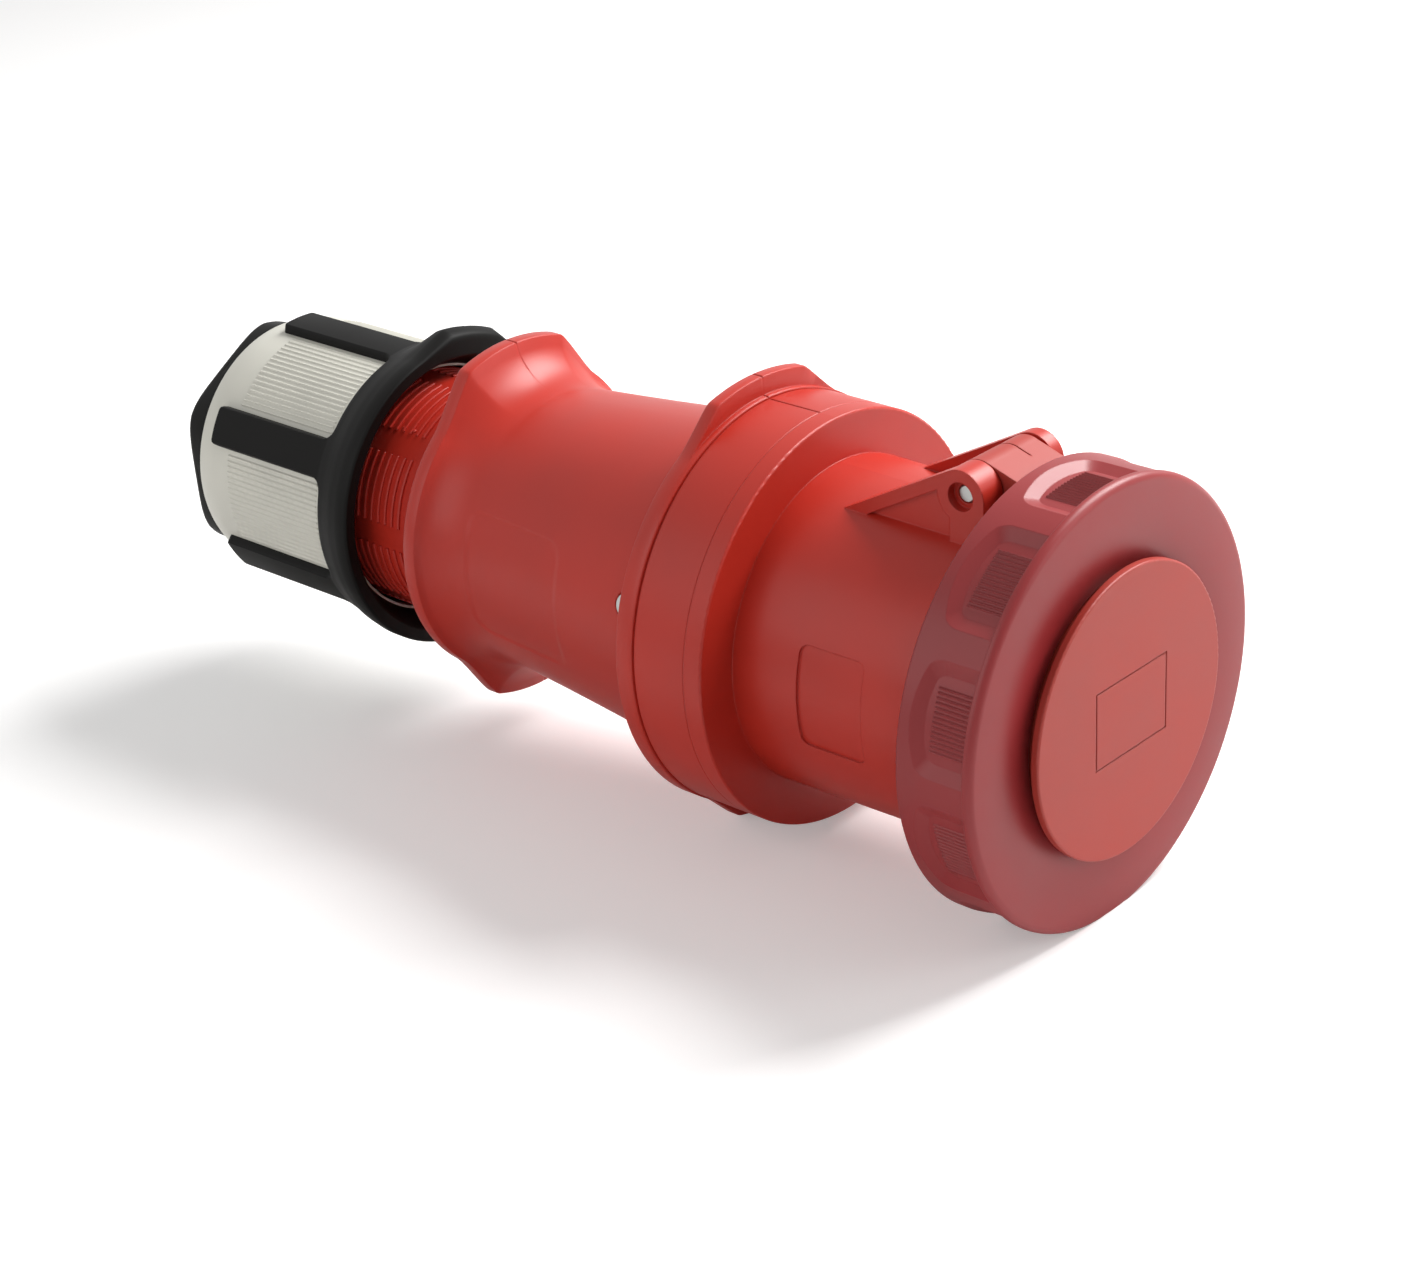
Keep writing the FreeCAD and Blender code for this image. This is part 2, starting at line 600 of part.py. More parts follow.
def gusset_recess(y_near, y_far):
    """The hollow in an ear's outer face, below its rim and behind its boss."""
    points = gusset_outline(GUSSET_RIM)
    hollow = side_plate(points, y_near, y_far)
    boss = cross_rod(PIN_X, PIN_Z, y_near, y_far, KNUCKLE_R)
    front = Part.makeBox(2 * KNUCKLE_R, y_far - y_near, 3 * KNUCKLE_R,
                         V(PIN_X - KNUCKLE_R / 2, y_near, PIN_Z - 2.5 * KNUCKLE_R))
    return hollow.cut([boss, front])


def hinge_ears():
    """The two ears on the barrel, the near one with a longer boss."""
    near_y = -HINGE_HALF_WIDTH
    near = side_plate(gusset_outline(0), near_y, near_y + EAR_WIDTH)
    far = side_plate(gusset_outline(0), HINGE_HALF_WIDTH - EAR_WIDTH, HINGE_HALF_WIDTH)
    boss = cross_rod(PIN_X, PIN_Z, near_y, near_y + NEAR_BOSS_WIDTH, KNUCKLE_R)
    post = Part.makeBox(2 * KNUCKLE_R, NEAR_BOSS_WIDTH, PIN_Z - GUSSET_SINK_Z,
                        V(PIN_X - KNUCKLE_R, near_y, GUSSET_SINK_Z))
    near = near.fuse([boss, post]).cut(gusset_recess(near_y - 1, near_y + GUSSET_RECESS))
    far = far.cut(gusset_recess(HINGE_HALF_WIDTH - GUSSET_RECESS, HINGE_HALF_WIDTH + 1))
    return [near, far]


def ramp(deg):
    """A bayonet ramp on the barrel, with a sloping rear face and an end stop."""
    half = RAMP_DEG / 2
    rear_x = LUG_FRONT_X + RAMP_LUG_GAP + RAMP_LIFT / 2
    block = sector(LUG_FRONT_X - LUG_LENGTH, RAMP_FRONT_X, BARREL_BORE_R + 1, RAMP_R, 0, half)
    slope = math.degrees(math.atan(RAMP_LIFT / (RAMP_R * math.radians(RAMP_DEG))))
    behind = Part.makeBox(RING_LENGTH, 4 * RAMP_R, RAMP_R * 2, V(rear_x - RING_LENGTH, -2 * RAMP_R, 0))
    behind.rotate(V(rear_x, 0, 0), V(0, 0, 1), slope)
    stop = sector(LUG_FRONT_X - LUG_LENGTH, RAMP_FRONT_X, BARREL_BORE_R + 1, RAMP_R, half + RAMP_STOP_DEG / 2,
                  RAMP_STOP_DEG / 2)
    return spun(block.cut(behind).fuse(stop), deg)


def front_housing():
    """The barrel with its mouth, hinge ears and ramps, the collar's front and the inner sleeve."""
    mouth_start, mouth_arc = bevel_arc((MOUTH_X, BARREL_MOUTH_R), (0, -MOUTH_ROUND), (-MOUTH_ROUND, 0))
    edge_start, edge_arc = bevel_arc((COLLAR_FRONT_X, COLLAR_R), (0, -COLLAR_EDGE), (-COLLAR_EDGE, 0))
    ring_rear_x = SEAM_X - SPIGOT_RING_LENGTH
    ring_bore_r = SPIGOT_RING_R - SPIGOT_RING_WALL
    wall_rear_x = COLLAR_FRONT_X - COLLAR_WALL
    shoulder_rear_x = SHOULDER_X - SHOULDER_LENGTH
    body = turned((MOUTH_X, BARREL_BORE_R), mouth_start, mouth_arc, (COLLAR_FRONT_X, BARREL_REAR_R), edge_start,
                  edge_arc, (SEAM_X, COLLAR_R), (SEAM_X, SPIGOT_RING_R), (ring_rear_x, SPIGOT_RING_R),
                  (ring_rear_x, ring_bore_r), (wall_rear_x, ring_bore_r), (wall_rear_x, SLEEVE_R),
                  (SLEEVE_REAR_X, SLEEVE_R), (SLEEVE_REAR_X, COLLAR_SLEEVE_BORE_R),
                  (shoulder_rear_x, COLLAR_SLEEVE_BORE_R), (shoulder_rear_x, SHOULDER_BORE_R),
                  (SHOULDER_X, SHOULDER_BORE_R), (SHOULDER_X, BARREL_BORE_R))
    first_ramp = LUG_HALF_DEG + RAMP_START_GAP_DEG + RAMP_DEG / 2
    ramps = [ramp(deg + first_ramp) for deg in LUG_ANGLES]
    body = joined(body, ramps + hinge_ears())
    keyway = Part.makeBox(MOUTH_X - KEYWAY_REAR_X + 1, KEYWAY_WIDTH, BARREL_BORE_R,
                          V(KEYWAY_REAR_X, -KEYWAY_WIDTH / 2, 0))
    keyway = spun(keyway.common(tube(KEYWAY_REAR_X, MOUTH_X + 1, BARREL_BORE_R + KEYWAY_DEPTH, BARREL_BORE_R - 1))
                  .fuse(keyway_edge()), 180)
    pad = spun(shallow_pad(LABEL_PAD_X, LABEL_PAD_HALF, LABEL_PAD_CORNER, label_floor_r(), LABEL_PAD_DEPTH),
               LABEL_PAD_DEG)
    bores = [cross_rod(PIN_X, PIN_Z, -HINGE_HALF_WIDTH - 1, PIN_FAR_Y, PIN_R),
             cross_rod(PIN_X, PIN_Z, -HINGE_HALF_WIDTH - 1, PIN_NEAR_Y, PIN_HEAD_R),
             radial_rod(LOCK_SCREW_X, LOCK_SCREW_DEG, COLLAR_SLEEVE_BORE_R - 2, SLEEVE_R + 2,
                        LOCK_SCREW_R + BONDED_GAP)]
    return body.cut([keyway, pad] + bores)


def keyway_edge():
    """The part of the plug's keyway that lies outside the bore's round."""
    return Part.makeBox(MOUTH_X - KEYWAY_REAR_X + 1, KEYWAY_WIDTH, KEYWAY_DEPTH,
                        V(KEYWAY_REAR_X, -KEYWAY_WIDTH / 2, BARREL_BORE_R - 0.5))


def label_floor_r():
    """The radius of the label panel's floor, from the barrel's taper at its middle."""
    middle = sum(LABEL_PAD_X) / 2
    share = (MOUTH_X - middle) / (MOUTH_X - COLLAR_FRONT_X)
    return BARREL_MOUTH_R + share * (BARREL_REAR_R - BARREL_MOUTH_R) - LABEL_PAD_DEPTH


def rear_shell():
    """The turned form of the rear housing: collar, ridge, handle, flange and spigot."""
    seat_front_x = SEAM_X - SPIGOT_RING_LENGTH - SEAL_THICKNESS
    seat_rear_x = seat_front_x - 2
    seat_r = SPIGOT_RING_R - SPIGOT_RING_WALL
    wall_x = RIDGE_REAR_X + HANDLE_WALL
    room_r = REAR_COLLAR_BORE_R + 0.4
    bore_r = SLEEVE_R + SLIDE_GAP
    bore_rear_x = SLEEVE_REAR_X - 1
    handle_front_in = (bore_rear_x - 2, HANDLE_MID_R + (bore_rear_x - HANDLE_MID_X) * 0.1 - HANDLE_WALL)
    rim_start, rim_arc = bevel_arc((FLANGE_FRONT_X, FLANGE_R), (0, -FLANGE_EDGE), (-FLANGE_EDGE, 0))
    rim_end, rim_end_arc = bevel_arc((FLANGE_REAR_X, FLANGE_R), (FLANGE_EDGE, 0), (0, -FLANGE_EDGE))
    neck = (HANDLE_REAR_X - (HANDLE_REAR_X - FLANGE_FRONT_X) * 0.62, HANDLE_REAR_R + (FLANGE_R - HANDLE_REAR_R) * 0.3)
    return turned((SEAM_X, COLLAR_R), (GROOVE_X, COLLAR_R), (GROOVE_X - GROOVE_STEP, COLLAR_R - GROOVE_STEP),
                  (GROOVE_X - 2 * GROOVE_STEP, RIDGE_R - GROOVE_STEP), (GROOVE_X - 3 * GROOVE_STEP, RIDGE_R),
                  (RIDGE_REAR_X, RIDGE_R), (RIDGE_REAR_X, HANDLE_FRONT_R),
                  ((HANDLE_MID_X, HANDLE_MID_R), (HANDLE_REAR_X, HANDLE_REAR_R)), (neck, rim_start), rim_arc,
                  rim_end, rim_end_arc, (FLANGE_REAR_X, SPIGOT_R), (SPIGOT_REAR_X, SPIGOT_R),
                  (SPIGOT_REAR_X, SPIGOT_BORE_R), (SPIGOT_STEP_X, SPIGOT_BORE_R), (SPIGOT_STEP_X, CABLE_PASS_R),
                  (SPIGOT_STEP_X + SPIGOT_LEDGE, CABLE_PASS_R),
                  (SPIGOT_STEP_X + SPIGOT_LEDGE, SPIGOT_BORE_R), (FLANGE_REAR_X, SPIGOT_BORE_R),
                  (FLANGE_FRONT_X, HANDLE_REAR_R - HANDLE_WALL),
                  (HANDLE_REAR_X, HANDLE_REAR_R - HANDLE_WALL),
                  ((HANDLE_MID_X, HANDLE_MID_R - HANDLE_WALL), handle_front_in), (bore_rear_x, bore_r),
                  (wall_x, bore_r), (wall_x, room_r), (seat_rear_x, room_r), (seat_rear_x, seat_r),
                  (seat_front_x, seat_r), (seat_front_x, REAR_COLLAR_BORE_R), (SEAM_X, REAR_COLLAR_BORE_R))


def flange_lobe():
    """A lobe of the rear flange with the hollow web that runs from it down to the handle."""
    outline = lobe(FLANGE_REAR_X, FLANGE_WEB_FRONT_X, FLANGE_R, FLANGE_LOBE_R, FLANGE_LOBE_HALF_DEG,
                   FLANGE_LOBE_FLANK_DEG)
    floor_r = HANDLE_REAR_R - 1
    hollow = (FLANGE_FRONT_X + (FLANGE_WEB_FRONT_X - FLANGE_FRONT_X) * 0.3, HANDLE_REAR_R + 3)
    rim_start, rim_arc = bevel_arc((FLANGE_FRONT_X, FLANGE_LOBE_R), (0, -FLANGE_EDGE), (-FLANGE_EDGE, 0))
    rim_end, rim_end_arc = bevel_arc((FLANGE_REAR_X, FLANGE_LOBE_R), (FLANGE_EDGE, 0), (0, -FLANGE_EDGE))
    trumpet = turned((FLANGE_WEB_FRONT_X, floor_r), (FLANGE_WEB_FRONT_X, floor_r + 0.8), (hollow, rim_start),
                     rim_arc, rim_end, rim_end_arc, (FLANGE_REAR_X, floor_r))
    return outline.common(trumpet)


def thread_ribs():
    """The interrupted thread of the spigot: short ribs in sectors, row behind row."""
    ribs = []
    for sector_no in range(THREAD_SECTORS):
        middle = THREAD_TURN_DEG + sector_no * 360 / THREAD_SECTORS
        for row in range(THREAD_TURNS):
            front_x = THREAD_FRONT_X - row * THREAD_PITCH
            ribs.append(sector(front_x - THREAD_RIB_WIDTH, front_x, SPIGOT_R - 0.5, SPIGOT_R + THREAD_RIB_HEIGHT,
                               middle, THREAD_SECTOR_HALF_DEG))
    return ribs


def rear_housing():
    """The rear housing with its lobes, thread, side panels and the lock screw's seat."""
    collar_lobe = lobe(RIDGE_REAR_X, COLLAR_LOBE_FRONT_X, RIDGE_R, COLLAR_LOBE_R, COLLAR_LOBE_HALF_DEG,
                       COLLAR_LOBE_FLANK_DEG)
    lobes = [spun(shape, deg) for shape in (collar_lobe, flange_lobe()) for deg in LOBE_ANGLES]
    body = joined(rear_shell(), lobes + thread_ribs())
    panel_floor_r = (HANDLE_MID_R + HANDLE_REAR_R) / 2 - PANEL_DEPTH
    panel = shallow_pad(PANEL_X, PANEL_HALF, PANEL_CORNER, panel_floor_r, PANEL_DEPTH)
    taper = panel_taper()
    panels = [spun(panel.cut(taper), deg) for deg in SIDE_ANGLES]
    seat = radial_rod(LOCK_SCREW_X, LOCK_SCREW_DEG, LOCK_SCREW_TOP_R - LOCK_SCREW_HEAD, HANDLE_FRONT_R + 4,
                      LOCK_SCREW_HEAD_R + SLIDE_GAP)
    hole = radial_rod(LOCK_SCREW_X, LOCK_SCREW_DEG, SLEEVE_R - 1, LOCK_SCREW_TOP_R, LOCK_SCREW_R + BONDED_GAP)
    return body.cut(panels + [seat, hole])


def panel_taper():
    """The handle's own taper, set deeper by the panel's depth, so a side panel's floor follows it."""
    low = PANEL_DEPTH
    return turned((HANDLE_REAR_X - 1, 0), (RIDGE_REAR_X, 0), (RIDGE_REAR_X, HANDLE_FRONT_R - low),
                  ((HANDLE_MID_X, HANDLE_MID_R - low), (HANDLE_REAR_X, HANDLE_REAR_R - low)),
                  (HANDLE_REAR_X - 1, HANDLE_REAR_R - low))


def housing_seal():
    """The rubber ring between the two housings' ends."""
    front_x = SEAM_X - SPIGOT_RING_LENGTH
    return tube(front_x - SEAL_THICKNESS, front_x, SPIGOT_RING_R - BONDED_GAP,
                SPIGOT_RING_R - SPIGOT_RING_WALL)


def slotted_screw(x, deg, r_low, r_top, r_shank, r_head, head):
    """A slotted screw that points at the axis, with its head outwards."""
    screw = radial_rod(x, deg, r_low, r_top, r_shank).fuse(radial_rod(x, deg, r_top - head, r_top, r_head))
    slot = Part.makeBox(SLOT_WIDTH, 2 * r_head + 2, SLOT_DEPTH + 1,
                        V(x - SLOT_WIDTH / 2, -r_head - 1, r_top - SLOT_DEPTH))
    return screw.cut(spun(slot, deg)).removeSplitter()


def housing_lock_screw():
    """The screw that keeps the two housings from turning apart."""
    return slotted_screw(LOCK_SCREW_X, LOCK_SCREW_DEG, COLLAR_SLEEVE_BORE_R + 0.5, LOCK_SCREW_TOP_R, LOCK_SCREW_R,
                         LOCK_SCREW_HEAD_R, LOCK_SCREW_HEAD)


def pole_sizes(name):
    """The bore and outer radius of a contact."""
    bore = EARTH_BORE_R if name == "contact_earth" else POLE_BORE_R
    return bore, bore + CONTACT_WALL


def pole_place(shape, name):
    """A pole's shape, moved from the long axis to the pole's place."""
    copy = shape.copy()
    copy.translate(polar(0, POLE_CIRCLE_R, POLE_ANGLES[name]))
    return copy


def contact(name):
    """A brass contact: sleeve, flange and screw terminal in one turned piece."""
    bore, outer = pole_sizes(name)
    front_x = CARRIER_FRONT_X - ENTRY_WALL
    flange_r = outer + CONTACT_FLANGE_EXTRA
    rear_x = RETAINER_FRONT_X - TERMINAL_LENGTH
    terminal_r = outer + TERMINAL_WALL
    body = turned((front_x, 0), (front_x, outer), (CARRIER_REAR_X, outer), (CARRIER_REAR_X, flange_r),
                  (RETAINER_FRONT_X, flange_r), (RETAINER_FRONT_X, terminal_r), (rear_x, terminal_r), (rear_x, 0))
    socket = rod(front_x - CONTACT_BORE_DEPTH, front_x + 1, bore)
    wire = rod(rear_x - 1, rear_x + WIRE_BORE_DEPTH, WIRE_BORE_R)
    clip_seat = tube(CLIP_X - CLIP_LENGTH, CLIP_X, outer + 1, outer - CLIP_WALL)
    placed = pole_place(body.cut([socket, wire, clip_seat]), name)
    return placed.cut(terminal_hole(name))


def terminal_screw_x():
    """The station of the terminal screws."""
    return RETAINER_FRONT_X - TERMINAL_LENGTH + WIRE_BORE_DEPTH / 2


def terminal_hole(name):
    """The hole of a pole's terminal screw, from outside."""
    outer = pole_sizes(name)[1] + TERMINAL_WALL
    return radial_rod(terminal_screw_x(), POLE_ANGLES[name], POLE_CIRCLE_R, POLE_CIRCLE_R + outer + 1,
                      TERMINAL_SCREW_R + BONDED_GAP)


def terminal_screws():
    """The five slotted terminal screws."""
    screws = []
    for name, deg in POLE_ANGLES.items():
        outer = pole_sizes(name)[1] + TERMINAL_WALL
        low = POLE_CIRCLE_R + WIRE_BORE_R - 1.5
        screws.append(slotted_screw(terminal_screw_x(), deg, low, POLE_CIRCLE_R + outer + 0.6, TERMINAL_SCREW_R,
                                    TERMINAL_SCREW_R, SLOT_DEPTH))
    return Part.makeCompound(screws)


def contact_clips():
    """The spring rings that squeeze the contact sleeves."""
    clips = []
    for name in POLE_ANGLES:
        outer = pole_sizes(name)[1]
        clip = tube(CLIP_X - CLIP_LENGTH + SLIDE_GAP, CLIP_X - SLIDE_GAP, outer, outer - CLIP_WALL + BONDED_GAP)
        clip = clip.cut(Part.makeBox(CLIP_LENGTH, 1.2, 2 * outer, V(CLIP_X - CLIP_LENGTH, -0.6, 0)))
        clips.append(pole_place(clip, name))
    return Part.makeCompound(clips)


def contact_carrier():
    """The insulating carrier with its five entry holes, seated on the housing's shoulder."""
    edge_start, edge_arc = bevel_arc((CARRIER_FRONT_X, CARRIER_R), (0, -1.2), (-1.2, 0))
    flange_front_x = SHOULDER_X - SHOULDER_LENGTH
    body = turned((CARRIER_FRONT_X, 0), edge_start, edge_arc, (flange_front_x, CARRIER_R),
                  (flange_front_x, CARRIER_FLANGE_R), (CARRIER_REAR_X, CARRIER_FLANGE_R), (CARRIER_REAR_X, 0))
    holes = []
    for name in POLE_ANGLES:
        bore, outer = pole_sizes(name)
        entry_r = bore + ENTRY_EXTRA
        wall_x = CARRIER_FRONT_X - ENTRY_WALL
        hole = turned((CARRIER_FRONT_X + 1, 0), (CARRIER_FRONT_X + 1, entry_r + ENTRY_CHAMFER),
                      (CARRIER_FRONT_X, entry_r + ENTRY_CHAMFER), (CARRIER_FRONT_X - ENTRY_CHAMFER, entry_r),
                      (wall_x, entry_r), (wall_x, outer + SLIDE_GAP), (CARRIER_REAR_X - 1, outer + SLIDE_GAP),
                      (CARRIER_REAR_X - 1, 0))
        holes.append(pole_place(hole, name))
    holes += [screw_hole(deg, CARRIER_REAR_X + CARRIER_SCREW_DEPTH, CARRIER_REAR_X - 1)
              for deg in CARRIER_SCREW_ANGLES]
    return body.cut(holes)


def screw_hole(deg, front_x, rear_x):
    """A hole for a carrier screw, along the axis."""
    hole = rod(rear_x, front_x, CARRIER_SCREW_R + BONDED_GAP)
    hole.translate(polar(0, CARRIER_SCREW_CIRCLE_R, deg))
    return hole


def contact_retainer():
    """The plate that holds the contacts' flanges in the carrier."""
    plate = tube(RETAINER_REAR_X, RETAINER_FRONT_X, CARRIER_FLANGE_R, 5)
    holes = [pole_place(rod(RETAINER_REAR_X - 1, RETAINER_FRONT_X + 1,
                            pole_sizes(name)[1] + TERMINAL_WALL + SLIDE_GAP), name) for name in POLE_ANGLES]
    holes += [screw_hole(deg, RETAINER_FRONT_X + 1, RETAINER_REAR_X - 1) for deg in CARRIER_SCREW_ANGLES]
    spacer = tube(RETAINER_FRONT_X, CARRIER_REAR_X, CARRIER_FLANGE_R, CARRIER_FLANGE_R - 3)
    return joined(plate.cut(holes), [spacer])


def carrier_screws():
    """The three screws from the retainer into the carrier."""
    screws = []
    for deg in CARRIER_SCREW_ANGLES:
        head_rear_x = RETAINER_REAR_X - CARRIER_SCREW_HEAD
        screw = rod(head_rear_x, CARRIER_REAR_X + CARRIER_SCREW_DEPTH - 1, CARRIER_SCREW_R)
        screw = screw.fuse(rod(head_rear_x, RETAINER_REAR_X, CARRIER_SCREW_HEAD_R))
        slot = Part.makeBox(SLOT_DEPTH, SLOT_WIDTH, 2 * CARRIER_SCREW_HEAD_R + 2,
                            V(head_rear_x, -SLOT_WIDTH / 2, -CARRIER_SCREW_HEAD_R - 1))
        screw = screw.cut(slot).removeSplitter()
        screw.translate(polar(0, CARRIER_SCREW_CIRCLE_R, deg))
        screws.append(screw)
    return Part.makeCompound(screws)


def carrier_lock_ring():
    """The ring behind the retainer that keeps the stack on the housing's shoulder."""
    outer = COLLAR_SLEEVE_BORE_R - BONDED_GAP
    ring = tube(RETAINER_REAR_X - LOCK_RING_LENGTH, RETAINER_REAR_X, outer, outer - LOCK_RING_WALL)
    notch = Part.makeBox(LOCK_RING_LENGTH, 4, 2 * outer, V(RETAINER_REAR_X - LOCK_RING_LENGTH - 2, -2, -outer))
    return ring.cut([notch, spun(notch, 90)])


def nut_rib(deg):
    """One fine grip rib on the nut, with a roof-shaped section."""
    foot = NUT_RIB_WIDTH / 2
    low = NUT_R - 0.5
    wire = path(V(NUT_RIB_REAR_X, -foot, low), [
        V(NUT_RIB_REAR_X, -foot, NUT_R - 0.02), V(NUT_RIB_REAR_X, 0, NUT_R + NUT_RIB_HEIGHT),
        V(NUT_RIB_REAR_X, foot, NUT_R - 0.02), V(NUT_RIB_REAR_X, foot, low)])
    return spun(Part.Face(wire).extrude(V(NUT_RIB_FRONT_X - NUT_RIB_REAR_X, 0, 0)), deg)


def gland_nut():
    """The pale clamping nut: wall, inner web, rounded rear shoulder and fine grip ribs."""
    web_rear_x = NUT_WEB_X - NUT_WEB_LENGTH
    shoulder = (NUT_SHOULDER_X + (NUT_REAR_X - NUT_SHOULDER_X) * 0.6, NUT_R - (NUT_R - NUT_REAR_R) * 0.3)
    body = turned((NUT_FRONT_X, NUT_BORE_R), (NUT_FRONT_X, NUT_R), (NUT_SHOULDER_X, NUT_R),
                  (shoulder, (NUT_REAR_X, NUT_REAR_R)), (NUT_REAR_X, NUT_BORE_R), (web_rear_x, NUT_BORE_R),
                  (web_rear_x, CABLE_ENTRY_R), (NUT_WEB_X, CABLE_ENTRY_R), (NUT_WEB_X, NUT_BORE_R))
    ribs = []
    for bar in range(BAR_COUNT):
        middle = BAR_TURN_DEG + (bar + 0.5) * 360 / BAR_COUNT
        ribs += [nut_rib(middle + (i - (NUT_RIBS - 1) / 2) * NUT_RIB_PITCH_DEG) for i in range(NUT_RIBS)]
    return joined(body, ribs)


def grip_bar():
    """One raised grip bar at the top, with bevelled sides and rear end."""
    inner = NUT_R + BONDED_GAP
    low = (BAR_REAR_X, GRIP_FRONT_X, BAR_HALF_WIDTH, BAR_CORNER, NUT_R - 1)
    high = (BAR_REAR_X + BAR_BEVEL, GRIP_FRONT_X, BAR_HALF_WIDTH - BAR_BEVEL, BAR_CORNER, BAR_R + 0.3)
    block = tapered_block(low, high)
    front = Part.makeBox(BAR_R, 2 * BAR_R, 2 * BAR_R, V(GRIP_REAR_X + 1, -BAR_R, 0))
    return block.common(tube(BAR_REAR_X - 1, GRIP_FRONT_X, BAR_R, inner)).cut(front)


def gland_grip_frame():
    """The black soft grip: a collar with a conical mouth and a lobe, and six bars over the nut."""
    inner = NUT_R + BONDED_GAP
    edge_start, edge_arc = bevel_arc((GRIP_FRONT_X, GRIP_FRONT_R), (0, -GRIP_EDGE), (-GRIP_EDGE, 0))
    body = turned((GRIP_FRONT_X, GRIP_RIM_R), edge_start, edge_arc, (GRIP_FRONT_X - 4, GRIP_FRONT_R),
                  (GRIP_REAR_X, GRIP_REAR_R), (GRIP_REAR_X, inner), (NUT_FRONT_X + BONDED_GAP, inner),
                  (NUT_FRONT_X + BONDED_GAP, GRIP_RECESS_R))
    crest = turned((GRIP_FRONT_X, GRIP_RIM_R + 1), (GRIP_FRONT_X, GRIP_LOBE_R - 2),
                   (GRIP_FRONT_X - 2.5, GRIP_LOBE_R), (GRIP_FRONT_X - 6, GRIP_LOBE_R - 0.6),
                   (GRIP_REAR_X, GRIP_REAR_R), (GRIP_REAR_X, inner + 1))
    crest = crest.common(spun(lobe(GRIP_REAR_X, GRIP_FRONT_X, GRIP_FRONT_R, GRIP_LOBE_R + 1, GRIP_LOBE_HALF_DEG,
                                   GRIP_LOBE_FLANK_DEG), GRIP_LOBE_DEG))
    bar = grip_bar()
    bars = [spun(bar, BAR_TURN_DEG + i * 360 / BAR_COUNT) for i in range(BAR_COUNT)]
    return joined(body, bars + [crest])


def gland_end_ring():
    """The black ring at the cable's entry, with a six-sided rim and a sleeve inside the nut."""
    sleeve_r = NUT_BORE_R - BONDED_GAP
    length = NUT_REAR_X - END_RING_REAR_X
    edges = []
    for i in range(6):
        corner = BAR_TURN_DEG + i * 60
        edges.append(Part.Arc(polar(END_RING_REAR_X, END_RING_FLAT_R, corner - 30),
                              polar(END_RING_REAR_X, END_RING_CORNER_R, corner),
                              polar(END_RING_REAR_X, END_RING_FLAT_R, corner + 30)).toShape())
    rim = Part.Face(Part.Wire(edges)).extrude(V(length, 0, 0))
    shaped = turned((NUT_REAR_X, 0), (NUT_REAR_X, NUT_REAR_R), (NUT_REAR_X - length * 0.5, END_RING_CORNER_R),
                    (END_RING_REAR_X, END_RING_CORNER_R - 1.5), (END_RING_REAR_X, 0))
    web_rear_x = NUT_WEB_X - NUT_WEB_LENGTH
    sleeve = rod(NUT_REAR_X, web_rear_x, sleeve_r)
    room = rod(END_RING_REAR_X + END_RING_PLATE, web_rear_x + 1, sleeve_r - END_RING_SLEEVE_WALL)
    entry = turned((END_RING_REAR_X - 1, 0), (END_RING_REAR_X - 1, CABLE_ENTRY_R + 2),
                   (END_RING_REAR_X, CABLE_ENTRY_R + 2), (END_RING_REAR_X + 2, CABLE_ENTRY_R),
                   (END_RING_REAR_X + END_RING_PLATE + 1, CABLE_ENTRY_R), (END_RING_REAR_X + END_RING_PLATE + 1, 0))
    return joined(rim.common(shaped), [sleeve]).cut([room, entry])


def gland_slip_ring():
    """The slip ring that the nut pushes at the clamping cage without turning it."""
    return tube(NUT_WEB_X, NUT_WEB_X + SLIP_RING_LENGTH, SLIP_RING_R, SLIP_RING_BORE_R)


def gland_grommet():
    """The rubber sealing insert round the cable, against the step in the spigot."""
    waist = (SPIGOT_STEP_X + GROMMET_REAR_X) / 2
    return turned((SPIGOT_STEP_X, GROMMET_BORE_R), (SPIGOT_STEP_X, GROMMET_R), (waist, GROMMET_R),
                  (GROMMET_REAR_X, GROMMET_R - 2), (GROMMET_REAR_X, GROMMET_BORE_R))


def gland_clamp_cage():
    """The clamping cage: a collar with slotted fingers round the grommet."""
    outer = SPIGOT_BORE_R - SLIDE_GAP
    cage = tube(CAGE_REAR_X, SPIGOT_STEP_X, outer, outer - CAGE_WALL)
    length = SPIGOT_STEP_X - CAGE_COLLAR_LENGTH - CAGE_REAR_X
    slot = Part.makeBox(length + 1, CAGE_SLOT, outer, V(CAGE_REAR_X - 1, -CAGE_SLOT / 2, outer / 2))
    return cage.cut([spun(slot, i * 360 / CAGE_FINGERS) for i in range(CAGE_FINGERS)])


def rest_tilt_deg():
    """The lean of the axis when the foot and the front edge of a rib between pockets touch the ground."""
    ring_drop = RING_R * math.cos(math.radians(POCKET_HALF_DEG + POCKET_TURN_DEG))
    return math.degrees(math.atan2(FOOT_DROP - ring_drop, -RING_FRONT_ROUND - FOOT_X))


def stood(shape):
    """A shape, moved from the connector's frame to where it lies on the ground."""
    copy = shape.copy()
    copy.translate(V(-FOOT_X, 0, FOOT_DROP))
    copy.rotate(ORIGIN, V(0, 1, 0), rest_tilt_deg())
    return copy


